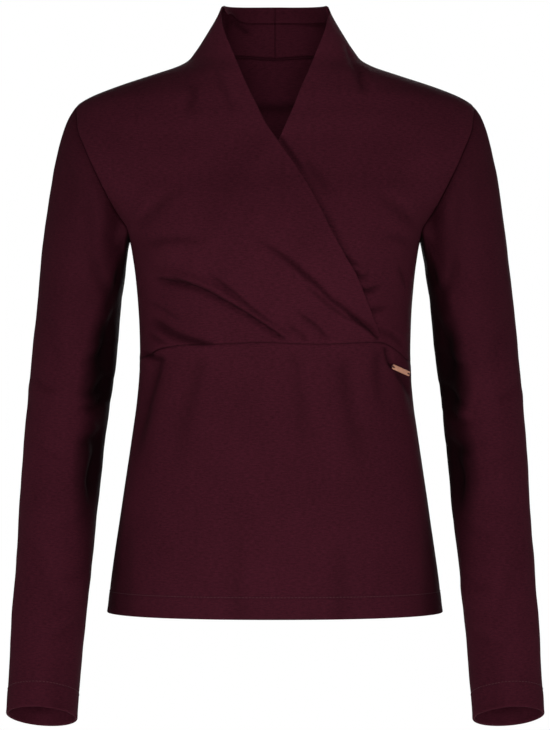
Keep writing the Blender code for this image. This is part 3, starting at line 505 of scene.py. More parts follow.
def sleeve_rows(at):
    rows = np.array(SLEEVE, float)
    x0, z0 = unview(rows[:, 0], rows[:, 1], rows[:, 4])
    x1, z1 = unview(rows[:, 2], rows[:, 3], rows[:, 4])
    rows[:, 0], rows[:, 1], rows[:, 2], rows[:, 3] = x0, z0, x1, z1
    way = np.linalg.norm(np.diff((rows[:, :2] + rows[:, 2:4]) / 2, axis=0), axis=1) + 0.35 * np.linalg.norm(np.diff(rows[:, :2], axis=0), axis=1)
    knots = np.concatenate([[0], np.cumsum(way)])
    return smooth_table(rows, knots / knots[-1], np.atleast_1d(at), 0)


def sleeve_ellipse(row, turn):
    """Points of one ring before the armhole's own shape is added."""
    outer, inner = np.array([row[0], row[4], row[1]]), np.array([row[2], row[4], row[3]])
    lean = np.radians(row[6])
    ahead = np.array([0.0, -np.cos(lean), np.sin(lean)])
    c, s = np.cos(np.radians(turn))[:, None], np.sin(np.radians(turn))[:, None]
    return (outer + inner) / 2 + c * (outer - inner) / 2 + s * row[5] * ahead


def sleeve_middle(at, turn):
    """Middle surface of the sleeve: rings at the fractions at, points at the angles turn."""
    rows = sleeve_rows(at)
    line, outward = armhole(turn), armhole(turn, -ARMHOLE_SET)
    under = ease((np.abs((turn + 180) % 360 - 180) - 95) / 50)
    hole = form_point(outward[:, 0], outward[:, 1]) + form_normal(line[:, 0], line[:, 1]) * (UNDERARM_SET * under)[:, None]
    first = sleeve_ellipse(sleeve_rows([0.0])[0], turn)
    extra = hole - first
    fade = (1 - ease(np.atleast_1d(at) / 0.30)) ** 1.5
    return np.stack([sleeve_ellipse(row, turn) + extra * f for row, f in zip(rows, fade)])


def arm_dent(points, turn):
    dent = np.zeros(points.shape[:2])
    for fold in ARM_FOLDS:
        off = (turn - fold.angle + 180) % 360 - 180
        dent += fold.depth * np.exp(-((points[..., 2] - fold.z) / fold.width_z) ** 2 - (off[None] / fold.width_angle) ** 2)
    return dent




# ---- the garment's own measures on the form -------------------------------------------------------------
def seen(points):
    """Where points are seen from the front, x right and y down."""
    k = EYE_DISTANCE / (EYE_DISTANCE + points[..., 1])
    return 275 + points[..., 0] * k, 62 - (EYE_Z + (points[..., 2] - EYE_Z) * k)


def crease_shift(x, y, creases, strength=1.0, crisp=0.45, spread=0.62):
    """Height added at x, y by a table of creases, and how deep in their troughs a point lies."""
    shift, hollow = np.zeros(x.shape), np.zeros(x.shape)
    for crease in creases:
        line = through(crease.path, np.linspace(0, 1, 41))
        ahead = np.gradient(line, axis=0)
        ahead /= np.linalg.norm(ahead, axis=1, keepdims=True)
        room = 3.2 * max(crease.w0, crease.w1)
        low, high = line.min(0) - room, line.max(0) + room
        pick = (x > low[0]) & (x < high[0]) & (y > low[1]) & (y < high[1])
        if not pick.any():
            continue
        dx, dy = x[pick][:, None] - line[:, 0], y[pick][:, None] - line[:, 1]
        gap = np.hypot(dx, dy)
        near = gap.argmin(1)
        rows = np.arange(len(near))
        side = ahead[near, 0] * dy[rows, near] - ahead[near, 1] * dx[rows, near]
        off = gap[rows, near] * np.sign(side) * crease.side
        share = near / 40.0
        width = crease.w0 + (crease.w1 - crease.w0) * share
        fade = ease(share / crease.head + 0.001) * ease((1 - share) / crease.tail + 0.001)
        # a point past an end of the path is out of its reach
        fade = fade * np.exp(-np.clip(gap[rows, near] - np.abs(off), 0, None) / width)
        # a soft trough with a sharper line along its bottom
        trough_ = (1 - crisp) * np.exp(-((off / width) ** 2)) + crisp * np.exp(-((off / (0.42 * width)) ** 2))
        # the side towards the ridge is the steeper one
        shift[pick] += strength * fade * (1.25 * crease.ridge * np.exp(-(((off - 1.55 * width) / (1.15 * width)) ** 2)) - crease.depth * trough_)
        hollow[pick] += strength * fade * crease.depth * np.exp(-(((off - 0.15 * width) / (spread * width)) ** 2))
    return shift, hollow


def uneven(points, size, seed):
    """A soft unevenness about one unit high, of the size given."""
    chance = np.random.default_rng(seed)
    total = 0.0
    for _ in range(7):
        way = chance.normal(size=3)
        way /= np.linalg.norm(way)
        total = total + np.sin(points @ way * (2 * np.pi / size) * chance.uniform(0.6, 1.5) + chance.uniform(0, 6.3))
    return total / 3.2


def edge_steps(length, count, both=True):
    """Fractions along lines of these lengths, close together beside both ends or only the last."""
    length = np.atleast_1d(np.asarray(length, float))[:, None]
    near = NEAR[None] / length
    if both:
        even = near[:, -1:] + (1 - 2 * near[:, -1:]) * np.linspace(0, 1, count - 2 * len(NEAR) + 2)[1:-1]
        return np.concatenate([near, even, 1 - near[:, ::-1]], 1)
    even = (1 - near[:, -1:]) * np.linspace(0, 1, count - len(NEAR) + 1)[:-1]
    return np.concatenate([even, 1 - near[:, ::-1]], 1)


def run_length(points, axis):
    """Length along the grid's lines from their start, and to their end."""
    step = np.linalg.norm(np.diff(points, axis=axis), axis=-1)
    zero = np.zeros([n if i != axis else 1 for i, n in enumerate(points.shape[:2])])
    along = np.concatenate([zero, np.cumsum(step, axis=axis)], axis)
    return along, (along.take([-1], axis) - along)


ROUND_Z = np.arange(-566.0, 66.01, 4.0)
ROUND_ANGLE = np.arange(0.0, 541.0, 1.5)
ROUND = form_point(ROUND_ANGLE[None], ROUND_Z[:, None] + 0 * ROUND_ANGLE[None])
ROUND_ARC, _ = run_length(ROUND, 1)
ROUND_RISE, _ = run_length(ROUND, 0)


def cloth_uv(angle, z):
    """Distances round and along the form, in metres."""
    a = np.clip((angle % 540) / 1.5, 0, len(ROUND_ANGLE) - 1.001)
    b = np.clip((z + 566.0) / 4.0, 0, len(ROUND_Z) - 1.001)
    i, j = b.astype(int), a.astype(int)
    f, g = b - i, a - j
    out = []
    for table in (ROUND_ARC - ROUND_ARC[:, 60:61], ROUND_RISE):
        top = table[i, j] * (1 - g) + table[i, j + 1] * g
        low = table[i + 1, j] * (1 - g) + table[i + 1, j + 1] * g
        out.append((top * (1 - f) + low * f) / 1000)
    return np.stack(out, -1)


# ---- meshes ----------------------------------------------------------------------------------------------
def mesh_object(name, points, quads, uv, material, smooth=True, deep=None):
    """A mesh of four-cornered faces; points in millimetres, uv a pair for each corner."""
    points, quads = np.asarray(points, float) / 1000.0, np.asarray(quads, int)
    corners = points[quads]
    size = (np.cross(corners[:, 0], corners[:, 1]) * corners[:, 2]).sum() + (np.cross(corners[:, 0], corners[:, 2]) * corners[:, 3]).sum()
    if size < 0:
        quads = quads[:, ::-1]
        uv = uv[:, ::-1]
    mesh = bpy.data.meshes.new(name)
    mesh.vertices.add(len(points))
    mesh.vertices.foreach_set("co", points.ravel())
    mesh.loops.add(quads.size)
    mesh.loops.foreach_set("vertex_index", quads.ravel().astype(np.int32))
    mesh.polygons.add(len(quads))
    mesh.polygons.foreach_set("loop_start", np.arange(0, quads.size, 4, dtype=np.int32))
    mesh.polygons.foreach_set("loop_total", np.full(len(quads), 4, dtype=np.int32))
    mesh.update(calc_edges=True)
    layer = mesh.uv_layers.new(name="UVMap")
    layer.data.foreach_set("uv", np.asarray(uv, np.float32).ravel())
    mesh.polygons.foreach_set("use_smooth", np.full(len(quads), smooth))
    mesh.materials.append(material)
    # deep, when given, is painted shade: kept as a point attribute that darkens the cloth's colour
    if deep is not None:
        mesh.attributes.new("deep", "FLOAT", "POINT").data.foreach_set("value", np.asarray(deep, np.float32))
    mesh.validate()
    obj = bpy.data.objects.new(name.replace(" ", "_"), mesh)
    bpy.context.scene.collection.objects.link(obj)
    return obj


def shell(name, outer, inner, uv, material, ring=False, deep=(0.0, 0.0)):
    """A closed thin shell from two grids. uv has a column more than the grids when ring is set."""
    rows, columns = outer.shape[:2]
    number = np.arange(rows * columns).reshape(rows, columns)
    if ring:
        number = np.concatenate([number, number[:, :1]], 1)
    wide = number.shape[1]
    a, b, d, e = number[:-1, :-1], number[:-1, 1:], number[1:, :-1], number[1:, 1:]
    top = np.stack([a, d, e, b], -1).reshape(-1, 4)
    below = np.stack([a, b, e, d], -1).reshape(-1, 4) + rows * columns
    place = np.arange(rows * wide).reshape(rows, wide)
    pa, pb, pd, pe = place[:-1, :-1], place[:-1, 1:], place[1:, :-1], place[1:, 1:]
    top_uv = np.stack([pa, pd, pe, pb], -1).reshape(-1, 4)
    below_uv = np.stack([pa, pb, pe, pd], -1).reshape(-1, 4)
    if ring:
        edges = [np.stack([number[0, 1:], number[0, :-1]], -1), np.stack([number[-1, :-1], number[-1, 1:]], -1)]
        edge_uv = [np.stack([place[0, 1:], place[0, :-1]], -1), np.stack([place[-1, :-1], place[-1, 1:]], -1)]
    else:
        edges, edge_uv = [], []
        for table, out in ((number, edges), (place, edge_uv)):
            loop = np.concatenate([table[:, 0], table[-1, 1:], table[-2::-1, -1], table[0, -2:0:-1]])
            out.append(np.stack([loop, np.roll(loop, -1)], -1))
    edges, edge_uv = np.concatenate(edges), np.concatenate(edge_uv)
    rim = np.stack([edges[:, 0], edges[:, 0] + rows * columns, edges[:, 1] + rows * columns, edges[:, 1]], -1)
    rim_uv = edge_uv[:, [0, 0, 1, 1]]
    flat = uv.reshape(-1, 2)
    return mesh_object(
        name,
        np.concatenate([outer.reshape(-1, 3), inner.reshape(-1, 3)]),
        np.concatenate([top, below, rim]),
        flat[np.concatenate([top_uv, below_uv, rim_uv])],
        material,
        deep=np.concatenate([np.broadcast_to(face, outer.shape[:2]).ravel() for face in deep]),
    )


def cross_section(seam, rim, hem=None, hem_depth=0.0):
    """Heights of the outer and inner faces over the middle, from the distances to seams, free edges and a hem's end."""
    dip = 0.52 * np.exp(-((seam / 1.1) ** 2)) - 0.16 * np.exp(-(((seam - 4.2) / 2.4) ** 2))
    roll = np.sqrt(np.clip(1 - (1 - np.clip(rim / 0.95, 0, 1)) ** 2, 0.05, 1))
    folded = 0.32 * np.exp(-((rim / 4.5) ** 2))
    outer = (WALL / 2 + folded) * roll - dip
    inner = -(WALL / 2 + folded) * roll - 0.32 * np.exp(-(((seam - 2.1) / 1.4) ** 2)) + 0.40 * np.exp(-((seam / 0.6) ** 2))
    if hem is not None:
        turned = ease((hem_depth - hem) / 1.4 + 0.5)
        outer = outer + turned * 0.28 * roll - 0.42 * np.exp(-(((hem - hem_depth) / 1.0) ** 2))
        inner = inner - turned * 0.8 * roll
    return outer, inner


def body_shift(points, creases, facing):
    """Height added to a trunk piece by folds and creases, facing -1 for the front and 1 for the back."""
    x, y = seen(points)
    shift, hollow = crease_shift(x, y, creases, BODY_STRENGTH)
    if facing < 0:
        shift = shift - BODY_FOLDS_FADE * body_dent(points)
    return shift + 0.42 * uneven(points, 95.0, 3) + 0.16 * uneven(points, 38.0, 5), hollow


# ---- the trunk's pieces ------------------------------------------------------------------------------------
def neck_line(at):
    """Back neck seam, centre back to the neck point."""
    angles = 270 + (SHOULDER_SEAM - 270) * at
    table = np.array(BACK_NECK, float)
    return np.column_stack([angles, smooth_table(table[:, 1:], table[:, 0], angles[::-1], 0)[::-1, 0]])


def shoulder_line(at):
    """Shoulder seam, neck point to the armhole."""
    ridge = np.array([(SHOULDER_SEAM, 0.0), (SHOULDER_SEAM, -7), (SHOULDER_SEAM, -21), (182, -34), (180, HOLE_TOP)])
    place = form_point(ridge[:, 0], ridge[:, 1])
    along = np.concatenate([[0], np.cumsum(np.linalg.norm(np.diff(place, axis=0), axis=1))])
    return smooth_table(ridge, along / along[-1], at, 0)


def side_line(top, bottom, at):
    z = top + (bottom - top) * at
    return np.column_stack([180 + (SIDE_SEAM - 180) * ease((HOLE_BOTTOM - z) / 70), z])


def collar_top(angle):
    """Height of the collar's top edge, its corners rounded off a little."""
    return COLLAR_SIDE_Z + (COLLAR_BACK_Z - COLLAR_SIDE_Z) * ease((angle - 180) / 90) - 1.9 * (1 - ease((angle - 178) / 14))


def front_upper(edge, columns, waist_side, counts=(52, 46, 58, 62)):
    """Grid of angle and height of an upper front with its half of the collar, for the side of -X."""
    neck, shoulder, hole, side = counts
    neck_at = 1 - edge_steps(105.0, neck + 1, both=False)[0][::-1]
    side_at = edge_steps(125.0, side + 1, both=False)[0]
    shoulder_at, hole_at = np.linspace(0, 1, shoulder + 1), np.linspace(0, 1, hole + 1)
    neck_part = neck_line(neck_at)[:-1] + [0, SEAM / 2]
    ridge = beside(shoulder_line(shoulder_at), -SEAM / 2)[:-1]
    hole_part = armhole(180 * hole_at, ARMHOLE_SET)
    hole_part[[0, -1]] = beside(hole_part[[0, -1]], -SEAM / 2)
    side_part = beside(side_line(hole_part[-1, 1], waist_side, side_at), -SEAM / 2)
    outer = np.vstack([neck_part, ridge, hole_part[:-1], side_part])
    top = 270 - 90 * neck_at[:-1]
    top_part = np.column_stack([top, collar_top(top)])
    free = np.vstack([[(180.0, collar_top(180.0))], on_front(through(edge, np.linspace(0, 1, 90)))])
    place = form_point(free[:, 0], free[:, 1])
    along = np.concatenate([[0], np.cumsum(np.linalg.norm(np.diff(place, axis=0), axis=1))])
    shares = np.concatenate([0.22 * shoulder_at[:-1], 0.22 + 0.50 * hole_at[:-1], 0.72 + 0.28 * side_at])
    inner = np.vstack([top_part, smooth_table(free, along / along[-1], shares, 0)])
    outer[0], inner[0] = beside(np.array([outer[0], inner[0]]), -SEAM / 2)
    coarse = np.linspace(0, 1, 40)[None, :, None]
    grid = outer[:, None] * (1 - coarse) + inner[:, None] * coarse
    length = run_length(form_point(grid[..., 0], grid[..., 1]), 1)[0][:, -1]
    across = edge_steps(length, columns)[..., None]
    grid = outer[:, None] * (1 - across) + inner[:, None] * across
    weight = np.zeros(len(outer))
    weight[-side - 1 :] = ease(side_at)
    return grid, weight


def settle_on_waist(grid, weight, mirror):
    angles = 180 - grid[-1, :, 0] if mirror else grid[-1, :, 0]
    miss = waist_z(angles) + SEAM / 2 - grid[-1, :, 1]
    grid[..., 1] += weight[:, None] * miss[None]
    return grid


def trunk_piece(name, angle, z, lift, seams, rims, material, mirror=False, hem=False, waist=None, creases=()):
    """A cloth shell on the form. seams and rims name the grid's edges: first, last, left, right."""
    middle, normal = form_point(angle, z), form_normal(angle, z)
    uv = cloth_uv(angle, z)
    if mirror:
        middle, normal = middle * [-1, 1, 1], normal * [-1, 1, 1]
        uv = uv * [-1, 1]
    from_first, to_last = run_length(middle, 0)
    from_left, to_right = run_length(middle, 1)
    far = {"first": from_first, "last": to_last, "left": from_left, "right": to_right}
    nothing = np.full(z.shape, 99.0)
    seam = np.minimum.reduce([nothing] + [far[edge] for edge in seams])
    rim = np.minimum.reduce([nothing] + [far[edge] for edge in rims])
    high, low = cross_section(seam, rim, to_last if hem else None, HEM_DEPTH)
    facing = np.where(middle[..., 1] < form_middle(z), -1, 1)
    front, back = body_shift(middle, creases, -1), body_shift(middle, BEHIND, 1)
    shift, hollow = np.where(facing < 0, front[0], back[0]), np.where(facing < 0, front[1], back[1])
    # creases of the front and the back fade towards the side seams
    sideways = ease(np.abs(normal[..., 1]) / 0.45)
    shift = shift * (0.25 + 0.75 * sideways)
    base = lift + shift
    high = high + 0.50 * (1 - sideways) * np.exp(-((seam / 1.1) ** 2))
    outer, inner = middle + normal * (base + high)[..., None], middle + normal * (base + low)[..., None]
    # how deep a point lies in a crease or a seam, on the outer and on the inner face: painted shade, darkening the
    # cloth's colour there
    line = np.exp(-((seam / 0.6) ** 2))
    outside = 0.16 * hollow * sideways + 0.45 * line
    # painted shade along the waist seam
    if waist:
        outside = outside + 0.35 * np.exp(-((far[waist] / 0.9) ** 2))
    # painted shade on the inner face: along its seams, and in the creases of the back seen through the neck
    deep = (outside, 0.75 * np.exp(-((seam / 0.45) ** 2)) + 0.30 * hollow * (facing > 0))
    return shell(name, outer, inner, uv, material, deep=deep), (middle, normal, base, high)


def form_middle(z):
    return ring_at(z)[3]


def back_grid(counts, columns):
    """Angle and height of the back: rows down the shoulders, armholes, and sides above and below the waist."""
    shoulder, hole, side, low = counts
    shoulder_at, hole_at = np.linspace(0, 1, shoulder + 1), np.linspace(0, 1, hole + 1)
    hole_part = armhole(-180 * hole_at, ARMHOLE_SET)
    hole_part[[0, -1]] = beside(hole_part[[0, -1]], SEAM / 2)
    sides = []
    for waist in (waist_z(180.0), waist_z(0.0)):
        above = side_line(hole_part[-1, 1], waist, np.linspace(0, 1, side + 1))[:-1]
        sides.append(beside(np.vstack([above, side_line(waist, HEM_Z, edge_steps(250.0, low + 1, both=False)[0])]), SEAM / 2))
    ridge = beside(shoulder_line(shoulder_at), SEAM / 2)[:-1]
    left = np.vstack([ridge, hole_part[:-1], sides[0]])
    right = np.vstack([ridge, hole_part[:-1], sides[1]])
    half = np.concatenate([NEAR / 210.0, np.linspace(NEAR[-1] / 210.0, 0.5, columns // 2 - len(NEAR) + 2)[1:]])
    share = np.concatenate([half, 1 - half[-2::-1]])
    angle = left[:, :1] + (270 - left[:, :1]) * (1 - np.abs(2 * share - 1))[None]
    angle = np.where(share[None] > 0.5, 540 - angle, angle)
    z = left[:, 1:] * (1 - share[None]) + right[:, 1:] * share[None]
    at = 1 - np.abs(2 * share - 1)
    neck = neck_line((1 - at[: len(half)])[::-1])[::-1, 1]
    neck = np.concatenate([neck, neck[-2::-1]]) - SEAM / 2
    rows = np.arange(len(left)) / (shoulder * 1.3)
    fade = 1 - ease(rows)
    z = z + fade[:, None] * (neck - z[0])[None]
    last = len(left) - 1 - low
    even = z[0] + (z[last] - z[0]) * np.linspace(0, 1, last + 1)[:, None] ** 1.15
    middle = ease(4 * np.minimum(share, 1 - share))[None]
    z[: last + 1] = z[: last + 1] * (1 - middle) + even * middle
    return angle, z


# ---- the sleeves ----------------------------------------------------------------------------------------------
def sleeve_piece(name, material, mirror, front_creases, deep_creases, rings=236, columns=112):
    at = np.concatenate([[0, 0.0004, 0.0011, 0.0021, 0.0035], np.linspace(0.0055, 0.12, 42), np.linspace(0.12, 0.9935, rings - 52)[1:],
                         [0.9955, 0.9973, 0.9985, 0.9994, 1.0]])
    turn = np.arange(columns) * 360.0 / columns
    middle = sleeve_middle(at, turn)
    step = 1e-3
    down = sleeve_middle(np.minimum(at + step, 1), turn) - sleeve_middle(np.maximum(at - step, 0), turn)
    about = sleeve_middle(at, turn + 0.5) - sleeve_middle(at, turn - 0.5)
    normal = np.cross(down, about)
    normal /= np.linalg.norm(normal, axis=-1, keepdims=True)
    dent = 0.75 * arm_dent(middle, turn)
    if mirror:
        middle, normal = middle * [-1, 1, 1], normal * [-1, 1, 1]
    x, y = seen(middle)
    (front, hollow), (back, hollow_back) = crease_shift(x, y, front_creases, ARM_STRENGTH), crease_shift(x if not mirror else 550 - x, y, ARM_BEHIND, ARM_STRENGTH)
    ahead = ease(0.5 - 1.4 * normal[..., 1])
    shift = front * ahead + back * (1 - ahead) - dent
    # the deep hollows stay clear of the sleeve's own outline
    clear = ease(-2.2 * normal[..., 1] - 0.05)
    hollows, hollow_deep = crease_shift(x, y, deep_creases, ARM_STRENGTH, 0.0, 0.85)
    shift = shift + hollows * clear
    # painted shade in the creases and, stronger, in the deep hollows
    hollow = 0.5 * (hollow * ahead + hollow_back * (1 - ahead)) + 1.8 * hollow_deep * ease(-1.6 * normal[..., 1] + 0.3)
    rows = np.array(ARM_SHADE, float)
    inward = normal[..., 0] * (-1 if mirror else 1)
    begin, amount = (np.interp(y, rows[:, 0], rows[:, i]) for i in (1, 2))
    # painted shade: darker where the sleeve faces the trunk, by ARM_SHADE, and darker towards the top of the sleeve
    lost = amount * ease((inward - begin) / 0.5) * ease((y - 215) / 30) + 0.27 * (1 - ease((y - 240) / 220))
    shift = shift - 0.8 * ease(inward / 0.5) * ease((y - 228) / 12) * (1 - ease((y - 250) / 26))
    if mirror:
        shift = shift - 1.5 * ease(inward / 0.5) * ease((y - 238) / 30) * (1 - ease((y - 440) / 80))
    soft = ease(run_length(middle, 0)[0] / 14)
    shift = shift * soft + (0.50 * uneven(middle, 88.0, 11 if mirror else 7) + 0.18 * uneven(middle, 36.0, 13)) * soft
    from_first, to_last = run_length(middle, 0)
    far = np.full(from_first.shape, 99.0)
    high, low = cross_section(from_first, to_last, to_last, CUFF_DEPTH)
    outer, inner = middle + normal * (shift + high)[..., None], middle + normal * (shift + low)[..., None]
    girth = np.linalg.norm(np.diff(np.concatenate([middle, middle[:, :1]], 1), axis=1), axis=-1).sum(1)
    u = np.linspace(0, 1, columns + 1)[None] * girth[:, None] / 1000
    v = np.repeat(from_first.mean(1)[:, None], columns + 1, 1) / 1000
    # painted shade in the creases, between sleeve and trunk and along the armhole seam
    piece = shell(name, outer, inner, np.stack([u * (-1 if mirror else 1), -v], -1), material, ring=True,
                  deep=(0.10 * hollow + lost + 0.45 * np.exp(-((from_first / 0.6) ** 2)), 0.0))
    return piece, (middle, normal, shift, high, from_first, to_last)


# ---- stitches ---------------------------------------------------------------------------------------------------
def stitch_run(name, line, normal, length, gap, thick, material, slant=0.0, across=None, closed=True):
    """Small thread stitches along a line of points, as one mesh: each a short round bar sunk at both ends."""
    line, normal = np.asarray(line, float), np.asarray(normal, float)
    if closed:
        line, normal = np.vstack([line, line[:1]]), np.vstack([normal, normal[:1]])
    along = np.concatenate([[0], np.cumsum(np.linalg.norm(np.diff(line, axis=0), axis=1))])
    count = int(along[-1] / (length + gap))
    starts = np.arange(count) * along[-1] / count
    share = np.array([0.0, 0.12, 0.35, 0.65, 0.88, 1.0])
    rise = np.array([-0.9, -0.1, 0.55, 0.55, -0.1, -0.9]) * thick
    size = np.array([0.45, 0.9, 1.0, 1.0, 0.9, 0.45]) * thick / 2
    round_it = np.radians(np.arange(6) * 60.0)
    place = starts[:, None] + share[None] * length
    centre = np.stack([np.interp(place, along, line[:, i]) for i in range(3)], -1)
    up = np.stack([np.interp(place, along, normal[:, i]) for i in range(3)], -1)
    up /= np.linalg.norm(up, axis=-1, keepdims=True)
    ahead = centre[:, -1:] - centre[:, :1]
    ahead = ahead / np.linalg.norm(ahead, axis=-1, keepdims=True) + 0 * centre
    side = np.cross(up, ahead)
    side /= np.linalg.norm(side, axis=-1, keepdims=True)
    if slant:
        centre = centre + side * (slant * (share - 0.5))[None, :, None]
    centre = centre + up * rise[None, :, None]
    ring = centre[:, :, None] + size[None, :, None, None] * (
        np.cos(round_it)[None, None, :, None] * side[:, :, None] + np.sin(round_it)[None, None, :, None] * up[:, :, None]
    )
    number = np.arange(ring.shape[0] * 36).reshape(-1, 6, 6)
    nxt = np.roll(number, -1, axis=2)
    quads = np.stack([number[:, :-1], nxt[:, :-1], nxt[:, 1:], number[:, 1:]], -1).reshape(-1, 4)
    ends = []
    for row, order in ((0, (0, 1, 2, 3, 4, 5)), (5, (5, 4, 3, 2, 1, 0))):
        c = number[:, row][:, list(order)]
        ends += [c[:, [0, 3, 2, 1]], c[:, [0, 5, 4, 3]]]
    quads = np.concatenate([quads] + ends)
    return mesh_object(name, ring.reshape(-1, 3), quads, np.zeros((len(quads), 4, 2)), material)


# ---- finishes ------------------------------------------------------------------------------------------------------
def material(name):
    made = bpy.data.materials.new(name)
    made.use_nodes = True
    nodes = made.node_tree.nodes
    return made, nodes, made.node_tree.links, nodes["Principled BSDF"]


def add(nodes, kind, **settings):
    node = nodes.new(kind)
    for key, value in settings.items():
        if key in ("operation", "noise_dimensions", "data_type", "blend_type", "vector_type"):
            setattr(node, key, value)
        else:
            node.inputs[key.replace("_", " ")].default_value = value
    return node


def maths(nodes, links, operation, a, b=None, c=None):
    node = nodes.new("ShaderNodeMath")
    node.operation = operation
    for socket, value in zip(node.inputs, (a, b, c)):
        if value is None:
            continue
        if isinstance(value, (int, float)):
            socket.default_value = value
        else:
            links.new(value, socket)
    return node.outputs[0]


def jersey():
    """Fine dark red jersey: a knit of small loops, a slightly uneven dye and a soft, dull face."""
    made, nodes, links, shader = material("jersey")
    uv = nodes.new("ShaderNodeUVMap")
    uv.uv_map = "UVMap"
    split_uv = nodes.new("ShaderNodeSeparateXYZ")
    links.new(uv.outputs[0], split_uv.inputs[0])
    u, v = split_uv.outputs[0], split_uv.outputs[1]
    # ribs of loops, each a little V
    wale = maths(nodes, links, "MULTIPLY", u, 1 / 0.00082)
    inside = maths(nodes, links, "PINGPONG", wale, 0.5)
    course = maths(nodes, links, "ADD", maths(nodes, links, "MULTIPLY", v, 1 / 0.00062), maths(nodes, links, "MULTIPLY", inside, 1.1))
    bars = maths(nodes, links, "PINGPONG", course, 0.5)
    loop = maths(nodes, links, "MULTIPLY", maths(nodes, links, "MULTIPLY", bars, 2.0), maths(nodes, links, "POWER", maths(nodes, links, "MULTIPLY", inside, 2.0), 0.6))
    place = nodes.new("ShaderNodeTexCoord")
    grain = add(nodes, "ShaderNodeTexNoise", Scale=1100.0, Detail=3.0, Roughness=0.7)
    links.new(place.outputs["Object"], grain.inputs["Vector"])
    patch = add(nodes, "ShaderNodeTexNoise", Scale=22.0, Detail=3.0, Roughness=0.55)
    links.new(place.outputs["Object"], patch.inputs["Vector"])
    fibre = add(nodes, "ShaderNodeTexNoise", Scale=700.0, Detail=1.5, Roughness=0.6)
    links.new(place.outputs["Object"], fibre.inputs["Vector"])
    # short streaks along the rows of loops, from yarn that is a little thick and thin
    wide = nodes.new("ShaderNodeCombineXYZ")
    links.new(maths(nodes, links, "MULTIPLY", u, 200.0), wide.inputs[0])
    upright = nodes.new("ShaderNodeSeparateXYZ")
    links.new(place.outputs["Object"], upright.inputs[0])
    links.new(maths(nodes, links, "MULTIPLY", upright.outputs[2], 900.0), wide.inputs[1])
    slub = add(nodes, "ShaderNodeTexNoise", Scale=1.0, Detail=3.0, Roughness=0.65)
    links.new(wide.outputs[0], slub.inputs["Vector"])
    # colour: darker between the loops, painted shade in the knit's small hollows, and lighter on fuzz
    tone = maths(nodes, links, "ADD", maths(nodes, links, "MULTIPLY", loop, 0.12), maths(nodes, links, "MULTIPLY", grain.outputs["Fac"], 0.10))
    tone = maths(nodes, links, "ADD", tone, maths(nodes, links, "MULTIPLY", patch.outputs["Fac"], 0.20))
    tone = maths(nodes, links, "ADD", tone, maths(nodes, links, "MULTIPLY", fibre.outputs["Fac"], 0.34))
    tone = maths(nodes, links, "ADD", maths(nodes, links, "MULTIPLY", tone, 0.60), maths(nodes, links, "MULTIPLY", slub.outputs["Fac"], 0.52))
    ramp = nodes.new("ShaderNodeValToRGB")
    ramp.color_ramp.elements[0].position, ramp.color_ramp.elements[1].position = 0.33, 0.66
    ramp.color_ramp.elements[0].color = (*[c * 0.58 for c in JERSEY], 1)
    ramp.color_ramp.elements[1].color = (*[c * 1.42 for c in JERSEY], 1)
    links.new(tone, ramp.inputs[0])
    # painted shade: the colour is darkened by the deep attribute, where light is lost at the bottom of creases and
    # seams, between sleeve and trunk and towards the top of the sleeves
    lost = nodes.new("ShaderNodeAttribute")
    lost.attribute_name = "deep"
    kept = maths(nodes, links, "POWER", 2.718, maths(nodes, links, "MULTIPLY", lost.outputs["Fac"], -0.9))
    shaded = add(nodes, "ShaderNodeVectorMath", operation="SCALE")
    links.new(ramp.outputs[0], shaded.inputs[0])
    links.new(kept, shaded.inputs["Scale"])
    links.new(shaded.outputs[0], shader.inputs["Base Color"])
    rough = maths(nodes, links, "ADD", maths(nodes, links, "MULTIPLY", fibre.outputs["Fac"], 0.12), 0.78)
    links.new(rough, shader.inputs["Roughness"])
    shader.inputs["Specular IOR Level"].default_value = 0.03
    shader.inputs["Sheen Weight"].default_value = 0.004
    shader.inputs["Sheen Roughness"].default_value = 0.45
    shader.inputs["Sheen Tint"].default_value = (0.9, 0.5, 0.55, 1)
    height = maths(nodes, links, "ADD", maths(nodes, links, "MULTIPLY", loop, 0.7), maths(nodes, links, "MULTIPLY", grain.outputs["Fac"], 0.5))
    height = maths(nodes, links, "ADD", height, maths(nodes, links, "MULTIPLY", fibre.outputs["Fac"], 0.5))
    bump = nodes.new("ShaderNodeBump")
    bump.inputs["Strength"].default_value = 0.55
    bump.inputs["Distance"].default_value = 0.00022
    links.new(height, bump.inputs["Height"])
    links.new(bump.outputs[0], shader.inputs["Normal"])
    return made


def thread():
    made, nodes, links, shader = material("thread")
    place = nodes.new("ShaderNodeTexCoord")
    ply = add(nodes, "ShaderNodeTexNoise", Scale=2600.0, Detail=2.0)
    links.new(place.outputs["Object"], ply.inputs["Vector"])
    ramp = nodes.new("ShaderNodeValToRGB")
    ramp.color_ramp.elements[0].color = (*[c * 0.55 for c in JERSEY], 1)
    ramp.color_ramp.elements[1].color = (*[c * 1.2 for c in JERSEY], 1)
    links.new(ply.outputs["Fac"], ramp.inputs[0])
    links.new(ramp.outputs[0], shader.inputs["Base Color"])
    shader.inputs["Roughness"].default_value = 0.62
    bump = nodes.new("ShaderNodeBump")
    bump.inputs["Strength"].default_value = 0.4
    bump.inputs["Distance"].default_value = 0.00008
    links.new(ply.outputs["Fac"], bump.inputs["Height"])
    links.new(bump.outputs[0], shader.inputs["Normal"])
    return made


